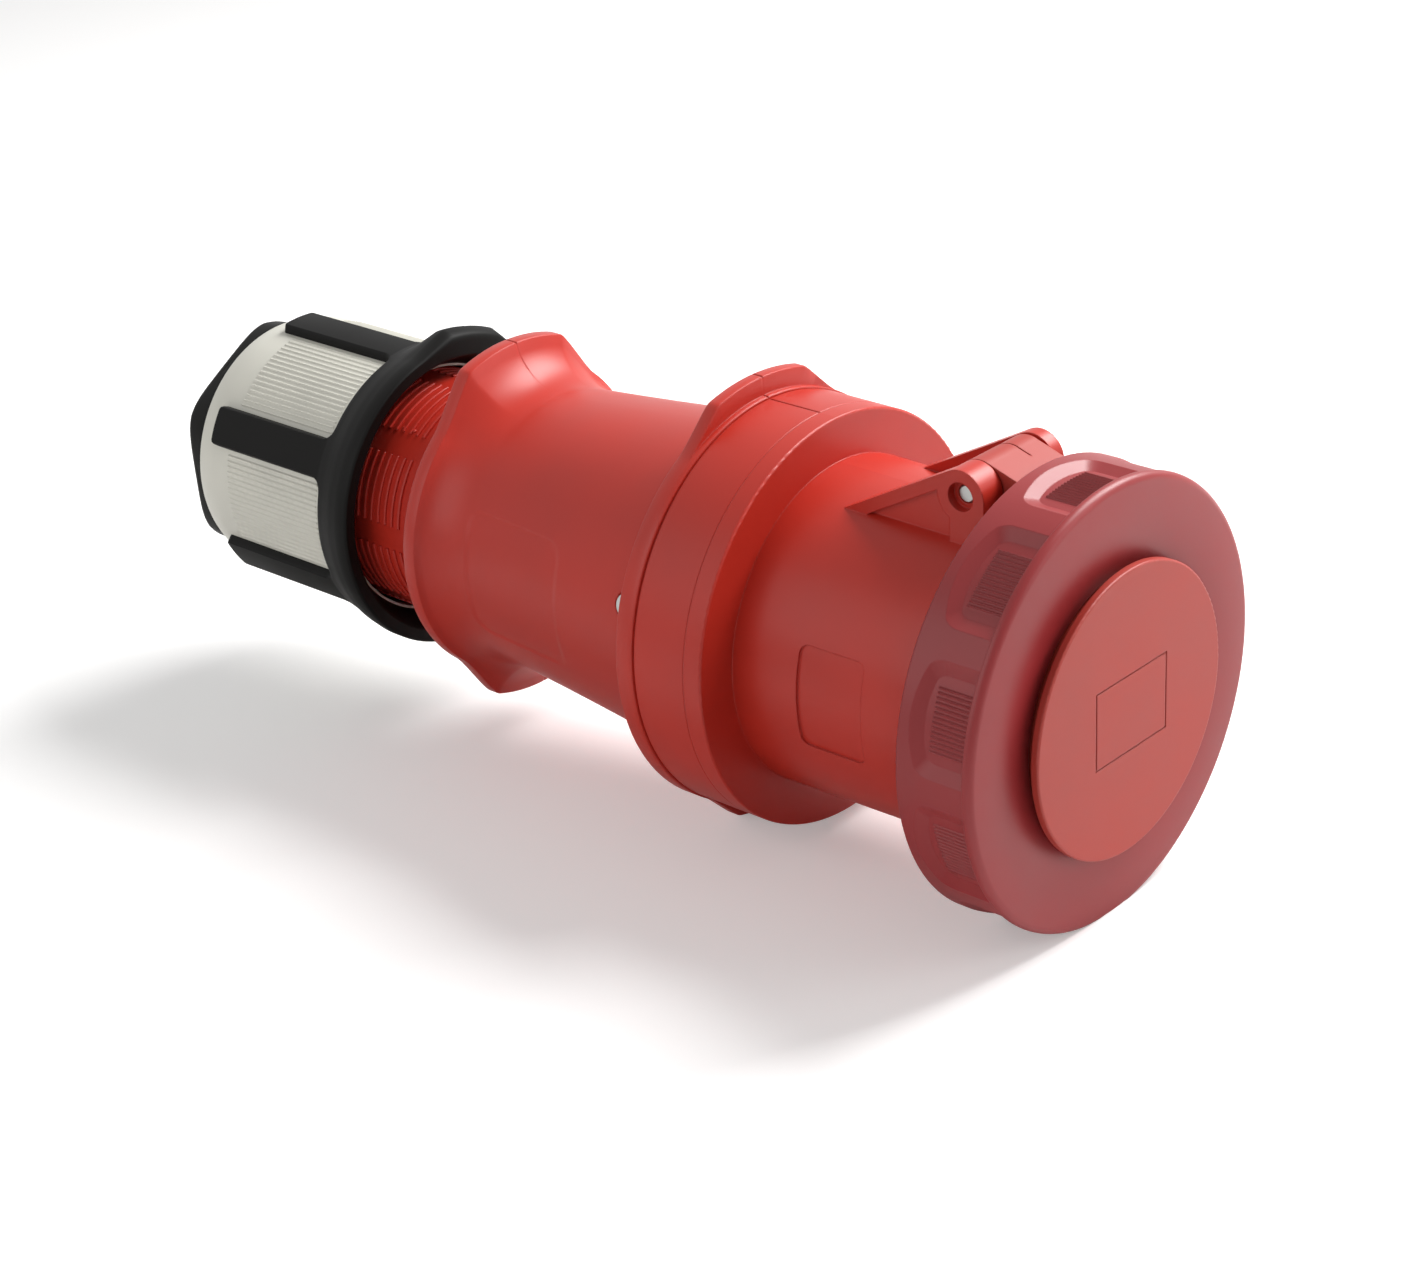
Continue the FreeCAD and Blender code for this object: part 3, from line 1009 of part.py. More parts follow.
def main():
    parts = {
        "front_housing": front_housing(),
        "rear_housing": rear_housing(),
        "contact_carrier": contact_carrier(),
        "contact_retainer": contact_retainer(),
        "contact_clips": contact_clips(),
        "terminal_screws": terminal_screws(),
        "carrier_screws": carrier_screws(),
        "carrier_lock_ring": carrier_lock_ring(),
        "housing_seal": housing_seal(),
        "housing_lock_screw": housing_lock_screw(),
        "lid": lid(),
        "lid_seal": lid_seal(),
        "hinge_spring": hinge_spring(),
        "hinge_pin": hinge_pin(),
        "bayonet_ring": bayonet_ring(),
        "gland_nut": gland_nut(),
        "gland_grip_frame": gland_grip_frame(),
        "gland_end_ring": gland_end_ring(),
        "gland_slip_ring": gland_slip_ring(),
        "gland_grommet": gland_grommet(),
        "gland_clamp_cage": gland_clamp_cage(),
    }
    for name in POLE_ANGLES:
        parts[name] = contact(name)
    below_ground = Part.makeBox(4 * RING_R, 4 * RING_R, RING_R, V(-2 * RING_R, -2 * RING_R, -RING_R))
    os.makedirs("parts", exist_ok=True)
    for name, shape in parts.items():
        placed = stood(shape)
        if name == "rear_housing":
            placed = placed.cut(below_ground)
        placed.exportStep(f"parts/{name}.step")


main()
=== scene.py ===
import math

import bmesh
import bpy
from mathutils import Matrix, Vector


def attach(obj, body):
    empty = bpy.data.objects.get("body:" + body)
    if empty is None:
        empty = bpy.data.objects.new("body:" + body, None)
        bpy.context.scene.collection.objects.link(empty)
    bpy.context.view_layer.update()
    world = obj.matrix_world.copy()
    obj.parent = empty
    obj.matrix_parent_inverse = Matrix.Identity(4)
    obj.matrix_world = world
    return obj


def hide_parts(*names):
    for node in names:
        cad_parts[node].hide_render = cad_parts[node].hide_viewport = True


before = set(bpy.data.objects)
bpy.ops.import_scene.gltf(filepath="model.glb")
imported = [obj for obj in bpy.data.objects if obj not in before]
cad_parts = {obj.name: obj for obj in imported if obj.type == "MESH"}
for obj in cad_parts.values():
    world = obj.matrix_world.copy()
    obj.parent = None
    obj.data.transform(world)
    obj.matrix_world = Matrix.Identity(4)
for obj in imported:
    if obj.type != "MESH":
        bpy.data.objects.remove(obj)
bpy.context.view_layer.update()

MM = 0.001

# Camera, from circles on the ring, collar, flange and gland in the photograph
CAMERA_PLACE = (512.7 * MM, -555.6 * MM, 390.3 * MM)
CAMERA_TURN_DEG = (65.71, 4.55, 41.87)
CAMERA_LENS = 78.5
CAMERA_SENSOR = 36.0

# Studio. A soft box has a place, a point that it shines at, a size in metres and a power in watts: the key throws the
# long shadow to the front left, the front box lifts the ring's face, the left box lifts the side
FLOOR_SIZE = 6.0
FLOOR_WHITE = "F2F1F0"
SKY_WHITE = "FFFFFF"
SKY_LIGHT = 0.3
FLOOR_GLOW = 0.28
SOFT_BOXES = {
    "key_soft_box": ((0.3, 0.82, 0.97), (0.0, 0.0, 0.05), 0.7, 26),
    "front_soft_box": ((1.0, 0.5, 0.45), (0.05, 0.0, 0.05), 0.6, 2.6),
    "left_soft_box": ((-0.35, -1.2, 0.7), (-0.05, 0.0, 0.05), 1.0, 4.8),
}

# Meshes: what is welded or dropped, where an edge stays sharp, and the angles that run once round the axis
WELD_MM = 0.005
SLIVER_MM = 0.002
SHARP_DEG = 35
FINE_DEG = 0.5
TURNS = (-180.0, 180.0)

# The coupler's own frame, in millimetres: x = 0 is the ring's front face and angles grow from the top to +Y.
# A profile is a row of points, each a station on the axis and a radius
FOOT_X = -113.0
FOOT_DROP = 61.9
RING_R = 59.0
RING_EDGE_DEG = 12.0
RING_FRONT_ROUND = 2.0

# Front plate of the ring
PLATE_STEP_DEG = 1.5
PLATE_PROUD = 0.03
PLATE_BORE_R = 35.4
PLATE_ARC_STEPS = 6
PLATE_RIM = ((-3.4, 56.9), (-2.5, RING_R))
PLATE_INSIDE = ((PLATE_PROUD, PLATE_BORE_R + 0.8), (-0.2, PLATE_BORE_R + 0.2), (-0.8, PLATE_BORE_R),
                (-2.4, PLATE_BORE_R), (-2.4, 55.5), (-3.4, 56.5))

# Rear housing, collar to spigot
SEAM_X = -92.0
SEAM_BEVEL = 0.3
COLLAR_R = 56.7
COLLAR_BORE_R = 53.0
GROOVE_X = -109.0
GROOVE_DEPTH = 0.5
RIDGE_R = 57.2
RIDGE_REAR_X = -115.0
COLLAR_LOBE_X = -111.0
COLLAR_LOBE_R = 62.4
COLLAR_LOBE_HALF_DEG = 15.5
COLLAR_LOBE_FLANK_DEG = 31.5

# Handle, as a curve through three measured places, and the flange that its flare ends in
HANDLE_CURVE = ((-115.0, 47.9), (-155.0, 43.5), (-190.0, 40.3))
HANDLE_WALL = 3.2
WEB_FRONT_X = -186.0
FLANGE_FRONT_X = -202.2
FLANGE_REAR_X = -207.0
FLANGE_R = 45.5
FLANGE_LOBE_R = 52.8
FLANGE_LOBE_HALF_DEG = 19.5
FLANGE_LOBE_FLANK_DEG = 41.0
FLANGE_EDGE = 0.8
FLARE_MIX = 0.5

# Spigot, which carries the clamping nut
SPIGOT_R = 34.6
SPIGOT_REAR_X = -262.0
SPIGOT_BORE_R = 30.0

# Lobes at the top and at the foot, with the mould's parting line along their middle
LOBE_ANGLES = (0.0, 180.0)
LOBE_SHOULDER = 0.06
LOBE_HOLLOW = 1.6
PARTING_HALF_DEG = 0.16
PARTING_DEPTH = 0.3

# Sunken side panels of the handle, and the seat of the lock screw
PANEL_ANGLES = (-88.0, 92.0)
PANEL_X = (-187.0, -150.0)
PANEL_HALF = 18.5
PANEL_CORNER = 5.0
PANEL_DEPTH = 0.35
PANEL_EDGE = 0.5
PANEL_EDGE_DEG = 25.0
SCREW_X = -121.5
SCREW_DEG = -76.0
SCREW_SEAT_R = 3.5
SCREW_SEAT_DEPTH = 1.4
SCREW_SEAT_EDGE = 0.25

# How finely the rear housing is meshed, and the steps beside a parting line, the screw, a panel's edge and a shoulder
HOUSING_STEP_DEG = 1.5
PARTING_STEPS = (0.95, 2.05, 3.5)
SCREW_STEPS = 11
PANEL_STEPS = 3
LOBE_STEPS = 5

# The collar's rear half and the lobed plate behind it: station, radius and share of the lobe's height
COLLAR_PROFILE = (
    (SEAM_X, COLLAR_R - SEAM_BEVEL, 0.0), (SEAM_X - SEAM_BEVEL, COLLAR_R, 0.0), (GROOVE_X + 0.2, COLLAR_R, 0.0),
    (GROOVE_X, COLLAR_R - GROOVE_DEPTH, 0.0), (GROOVE_X - 0.3, COLLAR_R - GROOVE_DEPTH, 0.0),
    (GROOVE_X - 0.4, RIDGE_R - 0.2, 0.0), (GROOVE_X - 0.7, RIDGE_R, 0.0), (COLLAR_LOBE_X, RIDGE_R, 0.0),
    (COLLAR_LOBE_X - 0.05, RIDGE_R, 0.9), (COLLAR_LOBE_X - 0.2, RIDGE_R, 0.97), (COLLAR_LOBE_X - 0.6, RIDGE_R, 1.0),
    (RIDGE_REAR_X + 0.6, RIDGE_R, 1.0), (RIDGE_REAR_X + 0.2, RIDGE_R - 0.2, 1.0), (RIDGE_REAR_X, RIDGE_R - 0.6, 1.0))

# The fillet between the collar and the handle: station and rise above the handle
COLLAR_FILLET = ((RIDGE_REAR_X, 1.6), (RIDGE_REAR_X - 0.25, 0.7), (RIDGE_REAR_X - 0.8, 0.05))

# Stretches of the handle, with a small step at the screw, at the panels' ends and on the flare
HANDLE_RUNS = ((RIDGE_REAR_X - 2, SCREW_X + 5, 1.0), (SCREW_X + 5, SCREW_X - 5, 0.4),
               (SCREW_X - 5, PANEL_X[1] + 1.5, 2.0), (PANEL_X[1] + 1.5, WEB_FRONT_X + 2, 0.9),
               (WEB_FRONT_X + 2, FLANGE_FRONT_X, 0.7))

# The flange's rim: station and drop below its outline
FLANGE_RIM = ((FLANGE_FRONT_X, 0.4), (FLANGE_FRONT_X - 0.2, 0.1), (FLANGE_FRONT_X - 0.5, 0.0),
              (FLANGE_REAR_X + 0.8, 0.0), (FLANGE_REAR_X + 0.25, 0.25), (FLANGE_REAR_X, 0.8))

# Round the spigot and back inside: its bore, the wiring room, the lock ring's seat and the carrier's room
SPIGOT_PROFILE = ((FLANGE_REAR_X, SPIGOT_R + 1.0), (FLANGE_REAR_X - 0.3, SPIGOT_R + 0.3),
                  (FLANGE_REAR_X - 1, SPIGOT_R), (SPIGOT_REAR_X + 1, SPIGOT_R), (SPIGOT_REAR_X, SPIGOT_R - 1))
WIRING_REAR_R = HANDLE_CURVE[2][1] - HANDLE_WALL
WIRING_MIDDLE_R = HANDLE_CURVE[1][1] - HANDLE_WALL
SLEEVE_SEAT_R = 43.5
SLEEVE_SEAT_X = (-129.0, -111.8)
COLLAR_ROOM_R = COLLAR_BORE_R + 0.4
COLLAR_ROOM_X = -104.1
COLLAR_BORE_X = -102.1
HOUSING_INSIDE = ((SPIGOT_REAR_X, SPIGOT_BORE_R), (FLANGE_REAR_X, SPIGOT_BORE_R), (FLANGE_FRONT_X, WIRING_REAR_R),
                  (HANDLE_CURVE[2][0], WIRING_REAR_R), (HANDLE_CURVE[1][0], WIRING_MIDDLE_R),
                  (SLEEVE_SEAT_X[0], SLEEVE_SEAT_R), (SLEEVE_SEAT_X[1], SLEEVE_SEAT_R),
                  (SLEEVE_SEAT_X[1], COLLAR_ROOM_R), (COLLAR_ROOM_X, COLLAR_ROOM_R),
                  (COLLAR_BORE_X, COLLAR_BORE_R), (SEAM_X, COLLAR_BORE_R))

# Thread ribs and dots on the spigot
RIB_FRONT_X = -219.6
RIB_PITCH = 2.8
RIB_ROWS = 10
RIB_SECTORS = 8
RIB_TURN_DEG = -67.0
RIB_HALF_DEG = 16.5
RIB_WIDTH = 1.0
RIB_HEIGHT = 0.55
RIB_ROOT = 0.4
RIB_EDGE = 0.2
RIB_STEPS = 7
DOT_ROWS = 3
DOT_FRONT_X = -220.4
DOT_PITCH = 4.3
DOT_R = 0.55
DOT_RISE = 0.1
DOT_SEGMENTS = 16
DOT_RINGS = 10
DOT_DEG = -36.5

# Soft grip over the nut: a profile without lobe and windows, and its mouth and bore
NUT_FRONT_X = -240.0
GRIP_FRONT_X = -231.0
GRIP_END_X = -296.6
GRIP_STEP_DEG = 1.0
GRIP_PROFILE = ((-231.0, 44.4), (-231.3, 44.8), (-231.8, 45.0), (-235.0, 45.0), (-239.0, 44.3), (-243.5, 43.0),
                (-247.0, 42.3), (-300.0, 42.3))
GRIP_FACE_POINTS = 4
GRIP_RUNS = ((-236.0, -245.0, 1.0), (-245.0, -251.0, 0.45), (-251.0, -291.5, 2.0), (-291.5, GRIP_END_X, 0.4))
GRIP_MOUTH_R = 43.4
GRIP_RIM_R = 41.2
GRIP_RECESS_R = 36.9
GRIP_HIDDEN_R = 39.2
GRIP_INNER_R = 38.8
BONDED_GAP = 0.05
GRIP_INSIDE = ((GRIP_END_X, GRIP_INNER_R), (NUT_FRONT_X + BONDED_GAP, GRIP_INNER_R),
               (NUT_FRONT_X + BONDED_GAP, GRIP_RECESS_R), (GRIP_FRONT_X - 0.4, GRIP_RIM_R - 0.2),
               (GRIP_FRONT_X, GRIP_RIM_R + 0.3))

# The grip collar's lobe: its place, and the share of its height at each station
GRIP_LOBE_DEG = 15.0
GRIP_LOBE_RISE = 3.9
GRIP_LOBE_HALF_DEG = 11.0
GRIP_LOBE_FLANK_DEG = 29.0
GRIP_LOBE_RUN = ((-231.0, 0.55), (-232.6, 0.9), (-234.5, 1.0), (-237.5, 0.95), (-241.0, 0.5), (-245.0, 0.0),
                 (-300.0, 0.0))

# The grip's bars and the windows between them
BAR_COUNT = 6
BAR_TURN_DEG = -2.0
BAR_HALF_WIDTH = 6.6
BAR_REAR_X = -295.0
BAR_SIDE = 1.3
BAR_CORNER = 2.2
BAR_MEAN_R = 41.0
BAR_EDGE_DEG = 6.25
BAR_EDGE_STEPS = 8
WINDOW_FRONT_X = -246.6
WINDOW_CORNER = 3.2

# End ring: a rim as station and drop below the six-sided outline, and the cable's way in with the sleeve in the nut
END_RING_SIDES = 6
END_RING_STEP_DEG = 2.0
END_RING_FLAT_R = 34.2
END_RING_CORNER_R = 37.2
END_RING_SHARPNESS = 34.0
NUT_REAR_X = -303.0
END_RING_REAR_X = -312.0
SLEEVE_FRONT_X = -279.6
SLEEVE_R = 36.1
SLEEVE_BORE_R = SLEEVE_R - 2
CABLE_ENTRY_R = 20.0
END_RING_RIM = ((NUT_REAR_X, 0.3), (NUT_REAR_X - 0.3, 0.0), (END_RING_REAR_X + 2.4, 0.0),
                (END_RING_REAR_X + 1.2, 0.35), (END_RING_REAR_X + 0.35, 1.2), (END_RING_REAR_X, 2.4))
END_RING_INSIDE = ((END_RING_REAR_X, CABLE_ENTRY_R + 2), (END_RING_REAR_X + 0.6, CABLE_ENTRY_R + 0.6),
                   (END_RING_REAR_X + 2, CABLE_ENTRY_R), (END_RING_REAR_X + 3, CABLE_ENTRY_R),
                   (END_RING_REAR_X + 3, SLEEVE_BORE_R), (SLEEVE_FRONT_X, SLEEVE_BORE_R), (SLEEVE_FRONT_X, SLEEVE_R),
                   (NUT_REAR_X, SLEEVE_R))

# Moulded plastic: the size of its cloudy patches, and how far they change its colour and gloss
CLOUD_MM = 40.0
CLOUD_RANGE = (0.3, 0.7)
CLOUD_TONE = (0.93, 1.06)
CLOUD_GLOSS = (-0.04, 0.05)
POLYAMIDE_IOR = 1.53

# Turned metal: how far its grooves change its gloss, and how round its edges are
GROOVE_GLOSS = (-0.08, 0.1)
METAL_EDGE_MM = 0.15

# Colours seen in the photograph
RING_RED = "8C2729"
LID_RED = "A2352B"
HOUSING_RED = "B42B1E"
NUT_GREY = "D2D0C5"
GRIP_BLACK = "0D0C0B"
INSULATOR_BLACK = "202022"
INNER_GREY = "A9AAA6"
BRASS = "C9A562"
ZINC = "B9BAB8"
SEAL_BLACK = "161616"

# Moulded plastics: colour, roughness, size and depth of the grain and round of the edges in mm, and specular level
PLASTICS = {
    # Satin wine red, darker than the housings
    "polyamide_wine_red": (RING_RED, 0.38, 0.3, 0.006, 0.5, 0.35),
    # Warm mid red, duller than the housings, so that the disc stands out in its ring
    "polyamide_lid_red": (LID_RED, 0.45, 0.3, 0.008, 0.5, 0.35),
    # Bright signal red with broad soft highlights along its top
    "polyamide_signal_red": (HOUSING_RED, 0.36, 0.3, 0.006, 0.5, 0.32),
    # Pale warm grey, smooth, with its grip ribs crisp
    "polyamide_pale_grey": (NUT_GREY, 0.42, 0.3, 0.003, 0.05, 0.5),
    # Deep black that hardly shines
    "soft_grip_black": (GRIP_BLACK, 0.5, 0.3, 0.01, 0.5, 0.1),
    # Charcoal face with a coarse grain, round the bright sockets
    "glass_filled_insulator_black": (INSULATOR_BLACK, 0.5, 0.5, 0.01, 0.3, 0.5),
    # Plain mid grey of the hidden rings
    "polyamide_inner_grey": (INNER_GREY, 0.5, 0.5, 0.01, 0.3, 0.5),
    # Dull black
    "seal_rubber_black": (SEAL_BLACK, 0.6, 0.3, 0.01, 0.3, 0.5),
}

# Turned metals: colour, roughness and width of the grooves in mm
METALS = {
    # Yellow gleam inside the sockets
    "turned_brass": (BRASS, 0.28, 0.2),
    # Cool silver of pin, spring and screws
    "zinc_plated_steel": (ZINC, 0.32, 0.25),
}

# The CAD nodes that show each finish
FINISHED_NODES = {
    "polyamide_wine_red": ("bayonet_ring",),
    "polyamide_lid_red": ("lid",),
    "polyamide_signal_red": ("front_housing",),
    "polyamide_pale_grey": ("gland_nut",),
    "glass_filled_insulator_black": ("contact_carrier", "contact_retainer"),
    "polyamide_inner_grey": ("carrier_lock_ring", "gland_slip_ring", "gland_clamp_cage"),
    "seal_rubber_black": ("gland_grommet", "housing_seal", "lid_seal"),
    "turned_brass": ("contact_l1", "contact_l2", "contact_l3", "contact_neutral", "contact_earth"),
    "zinc_plated_steel": ("hinge_pin", "hinge_spring", "housing_lock_screw", "terminal_screws", "carrier_screws",
                          "contact_clips"),
}


def linear(hex_colour):
    """A linear colour from an sRGB hex value."""
    parts = [int(hex_colour[i:i + 2], 16) / 255 for i in (0, 2, 4)]
    return tuple(p / 12.92 if p <= 0.04045 else ((p + 0.055) / 1.055) ** 2.4 for p in parts) + (1.0,)


def add(tree, kind, inputs=None, **settings):
    """Adds a node. An input is a value, or a (node, output) pair to link from."""
    node = tree.nodes.new(kind)
    for name, value in settings.items():
        setattr(node, name, value)
    for name, value in (inputs or {}).items():
        if isinstance(value, tuple) and isinstance(value[0], bpy.types.Node):
            tree.links.new(value[0].outputs[value[1]], node.inputs[name])
        else:
            node.inputs[name].default_value = value
    return node


def new_material(name):
    """An empty node material and its tree."""
    material = bpy.data.materials.new(name)
    material.use_nodes = True
    material.node_tree.nodes.clear()
    return material, material.node_tree


def moulded_plastic(name, hex_colour, roughness, grain_mm, grain_depth_mm, edge_mm, specular):
    """Injection-moulded plastic from a spark-eroded mould: fine even grain, soft edges, slight cloudiness."""
    material, tree = new_material(name)
    place = add(tree, "ShaderNodeTexCoord")
    cloud = add(tree, "ShaderNodeTexNoise", {"Vector": (place, "Object"), "Scale": 1 / (CLOUD_MM * MM), "Detail": 3.0})
    tone = add(tree, "ShaderNodeMapRange", {
        "Value": (cloud, "Fac"), "From Min": CLOUD_RANGE[0], "From Max": CLOUD_RANGE[1],
        "To Min": CLOUD_TONE[0], "To Max": CLOUD_TONE[1]})
    tinted = add(tree, "ShaderNodeHueSaturation", {"Color": linear(hex_colour), "Value": (tone, "Result")})
    gloss = add(tree, "ShaderNodeMapRange", {
        "Value": (cloud, "Fac"), "From Min": CLOUD_RANGE[0], "From Max": CLOUD_RANGE[1],
        "To Min": roughness + CLOUD_GLOSS[0], "To Max": roughness + CLOUD_GLOSS[1]})
    grain = add(tree, "ShaderNodeTexNoise", {"Vector": (place, "Object"), "Scale": 1 / (grain_mm * MM), "Detail": 2.0})
    edge = add(tree, "ShaderNodeBevel", {"Radius": edge_mm * MM}, samples=6)
    bump = add(tree, "ShaderNodeBump", {
        "Height": (grain, "Fac"), "Distance": grain_depth_mm * MM, "Strength": 1.0, "Normal": (edge, "Normal")})
    shader = add(tree, "ShaderNodeBsdfPrincipled", {
        "Base Color": (tinted, "Color"), "Roughness": (gloss, "Result"), "Normal": (bump, "Normal"),
        "IOR": POLYAMIDE_IOR, "Specular IOR Level": specular})
    add(tree, "ShaderNodeOutputMaterial", {"Surface": (shader, "BSDF")})
    return material


def turned_metal(name, hex_colour, roughness, groove_mm):
    """Turned and plated metal: bright, with fine grooves round the axis of the lathe."""
    material, tree = new_material(name)
    place = add(tree, "ShaderNodeTexCoord")
    groove = add(tree, "ShaderNodeTexNoise", {
        "Vector": (place, "Object"), "Scale": 1 / (groove_mm * MM), "Detail": 3.0})
    gloss = add(tree, "ShaderNodeMapRange", {
        "Value": (groove, "Fac"), "To Min": roughness + GROOVE_GLOSS[0], "To Max": roughness + GROOVE_GLOSS[1]})
    edge = add(tree, "ShaderNodeBevel", {"Radius": METAL_EDGE_MM * MM}, samples=4)
    shader = add(tree, "ShaderNodeBsdfPrincipled", {
        "Base Color": linear(hex_colour), "Metallic": 1.0, "Roughness": (gloss, "Result"), "Normal": (edge, "Normal")})
    add(tree, "ShaderNodeOutputMaterial", {"Surface": (shader, "BSDF")})
    return material


def standing():
    """From the coupler's own frame to the ground that it lies on, leaning on its foot and its ring."""
    ring_drop = RING_R * math.cos(math.radians(RING_EDGE_DEG))
    lean = math.atan2(FOOT_DROP - ring_drop, -RING_FRONT_ROUND - FOOT_X)
    shift = Matrix.Translation((-FOOT_X, 0, FOOT_DROP))
    return Matrix.Scale(MM, 4) @ Matrix.Rotation(lean, 4, "Y") @ shift


def round_axis(x, r, deg):
    """The point at a station, radius and angle."""
    turn = math.radians(deg)
    return Vector((x, r * math.sin(turn), r * math.cos(turn)))


def eased(low, high, value):
    """From 0 to 1 between two values, level at both ends."""
    share = min(max((value - low) / (high - low), 0.0), 1.0)
    return share * share * (3 - 2 * share)


def along(points, x):
    """The height of a line of (x, height) points, which run backwards, at a station."""
    if x >= points[0][0]:
        return points[0][1]
    for (x0, h0), (x1, h1) in zip(points, points[1:]):
        if x >= x1:
            return h0 + (h1 - h0) * (x0 - x) / (x0 - x1)
    return points[-1][1]


def off_centre(deg, middle):
    """How far an angle is from another, either way."""
    return abs((deg - middle + 180) % 360 - 180)


def lobe_share(deg, middles, half_deg, flank_deg):
    """How high a lobe stands at an angle: 1 on its top, with a tight shoulder and a hollow flank."""
    away = min(off_centre(deg, middle) for middle in middles)
    flank = min(max((away - half_deg) / (flank_deg - half_deg), 0.0), 1.0)
    softened = (math.hypot(flank, LOBE_SHOULDER) - LOBE_SHOULDER) / (math.hypot(1, LOBE_SHOULDER) - LOBE_SHOULDER)
    return (1 - softened) ** LOBE_HOLLOW


def spread(start, end, step):
    """Even stations from one to another, the last left out."""
    count = max(1, round(abs(end - start) / step))
    return [start + (end - start) * i / count for i in range(count)]


def in_order(turns):
    """Angles in a row round the axis, from -180, each once."""
    return sorted({round((deg + 180) % 360 - 180, 3) for deg in turns})


def closed_mesh(name, rings, turns):
    """A closed mesh from rings round the axis, with nothing under the ground.

    A ring is a station and one radius, or one for each angle.
    """
    mesh = bmesh.new()
    place = standing()
    rows = []
    for x, radii in rings:
        each = radii if isinstance(radii, list) else [radii] * len(turns)
        rows.append([mesh.verts.new(place @ round_axis(x, r, deg)) for r, deg in zip(each, turns)])
    for i, row in enumerate(rows):
        ahead = rows[(i + 1) % len(rows)]
        for j in range(len(turns)):
            k = (j + 1) % len(turns)
            mesh.faces.new((row[j], row[k], ahead[k], ahead[j]))
    bmesh.ops.remove_doubles(mesh, verts=mesh.verts, dist=WELD_MM * MM)
    bmesh.ops.dissolve_degenerate(mesh, edges=mesh.edges, dist=SLIVER_MM * MM)
    for vert in mesh.verts:
        vert.co.z = max(vert.co.z, 0.0)
    bmesh.ops.recalc_face_normals(mesh, faces=mesh.faces)
    return shaded(name, mesh)


def shaded(name, mesh):
    """A plain mesh from a bmesh, smooth but for its sharp edges."""
    plain = bpy.data.meshes.new(name)
    mesh.to_mesh(plain)
    mesh.free()
    plain.shade_smooth()
    plain.set_sharp_from_angle(angle=math.radians(SHARP_DEG))
    return plain


def settle(mesh, body, slot, material, *nodes):
    """Puts a finished piece on a body, and hides the CAD nodes, if any, that it stands for."""
    mesh.materials.clear()
    mesh.materials.append(material)
    piece = bpy.data.objects.new(mesh.name, mesh)
    bpy.context.scene.collection.objects.link(piece)
    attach(piece, body)
    if nodes:
        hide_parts(*nodes)
    return piece


def handle_r(x):
    """The handle's radius at a station, on a smooth curve through its three measured places."""
    total = 0.0
    for i, (xi, ri) in enumerate(HANDLE_CURVE):
        weight = 1.0
        for j, (xj, _) in enumerate(HANDLE_CURVE):
            if i != j:
                weight *= (x - xj) / (xi - xj)
        total += ri * weight
    return total


def handle_dent(x, deg, r):
    """How deep the side panels and the lock screw's seat lie in the handle's surface."""
    deepest = 0.0
    middle_x = (PANEL_X[0] + PANEL_X[1]) / 2
    for middle in PANEL_ANGLES:
        side_x = abs(x - middle_x) - (PANEL_X[1] - PANEL_X[0]) / 2 + PANEL_CORNER
        side_y = math.radians(off_centre(deg, middle)) * r - PANEL_HALF + PANEL_CORNER
        gap = math.hypot(max(side_x, 0), max(side_y, 0)) + min(max(side_x, side_y), 0) - PANEL_CORNER
        deepest = max(deepest, PANEL_DEPTH * (1 - eased(-PANEL_EDGE, PANEL_EDGE, gap)))
    gap = math.hypot(x - SCREW_X, math.radians(off_centre(deg, SCREW_DEG)) * r) - SCREW_SEAT_R
    return max(deepest, SCREW_SEAT_DEPTH * (1 - eased(-SCREW_SEAT_EDGE, SCREW_SEAT_EDGE, gap)))


def parting(deg):
    """How deep the mould's parting line lies at an angle."""
    away = min(off_centre(deg, middle) for middle in LOBE_ANGLES)
    return PARTING_DEPTH * (1 - eased(PARTING_HALF_DEG, 2 * PARTING_HALF_DEG, away))


def collar_rings(turns):
    """The rear half of the collar, its groove and ridge, and the lobed plate behind them."""
    lobe = [lobe_share(deg, LOBE_ANGLES, COLLAR_LOBE_HALF_DEG, COLLAR_LOBE_FLANK_DEG) for deg in turns]
    rise = COLLAR_LOBE_R - RIDGE_R
    rings = []
    for x, r, share in COLLAR_PROFILE:
        rings.append((x, [r + rise * share * own - parting(deg) for own, deg in zip(lobe, turns)]))
    return rings + [(x, HANDLE_CURVE[0][1] + more) for x, more in COLLAR_FILLET]


def handle_rings(turns):
    """The handle, its hollow flare and the lobed rear flange."""
    lobe = [lobe_share(deg, LOBE_ANGLES, FLANGE_LOBE_HALF_DEG, FLANGE_LOBE_FLANK_DEG) for deg in turns]
    flange = [FLANGE_R + (FLANGE_LOBE_R - FLANGE_R) * own for own in lobe]
    rings = []
    for x in [x for run in HANDLE_RUNS for x in spread(*run)]:
        share = min(max((WEB_FRONT_X - x) / (WEB_FRONT_X - FLANGE_FRONT_X), 0.0), 1.0)
        flare = FLARE_MIX * share ** 2 + (1 - FLARE_MIX) * (1 - math.sqrt(1 - share ** 2))
        low = handle_r(x)
        radii = []
        for top, deg in zip(flange, turns):
            rise = (top - FLANGE_EDGE / 2 - low) * flare
            radii.append(low + rise - handle_dent(x, deg, low) - parting(deg) * flare)
        rings.append((x, radii))
    for x, drop in FLANGE_RIM:
        rings.append((x, [top - drop - parting(deg) for top, deg in zip(flange, turns)]))
    return rings


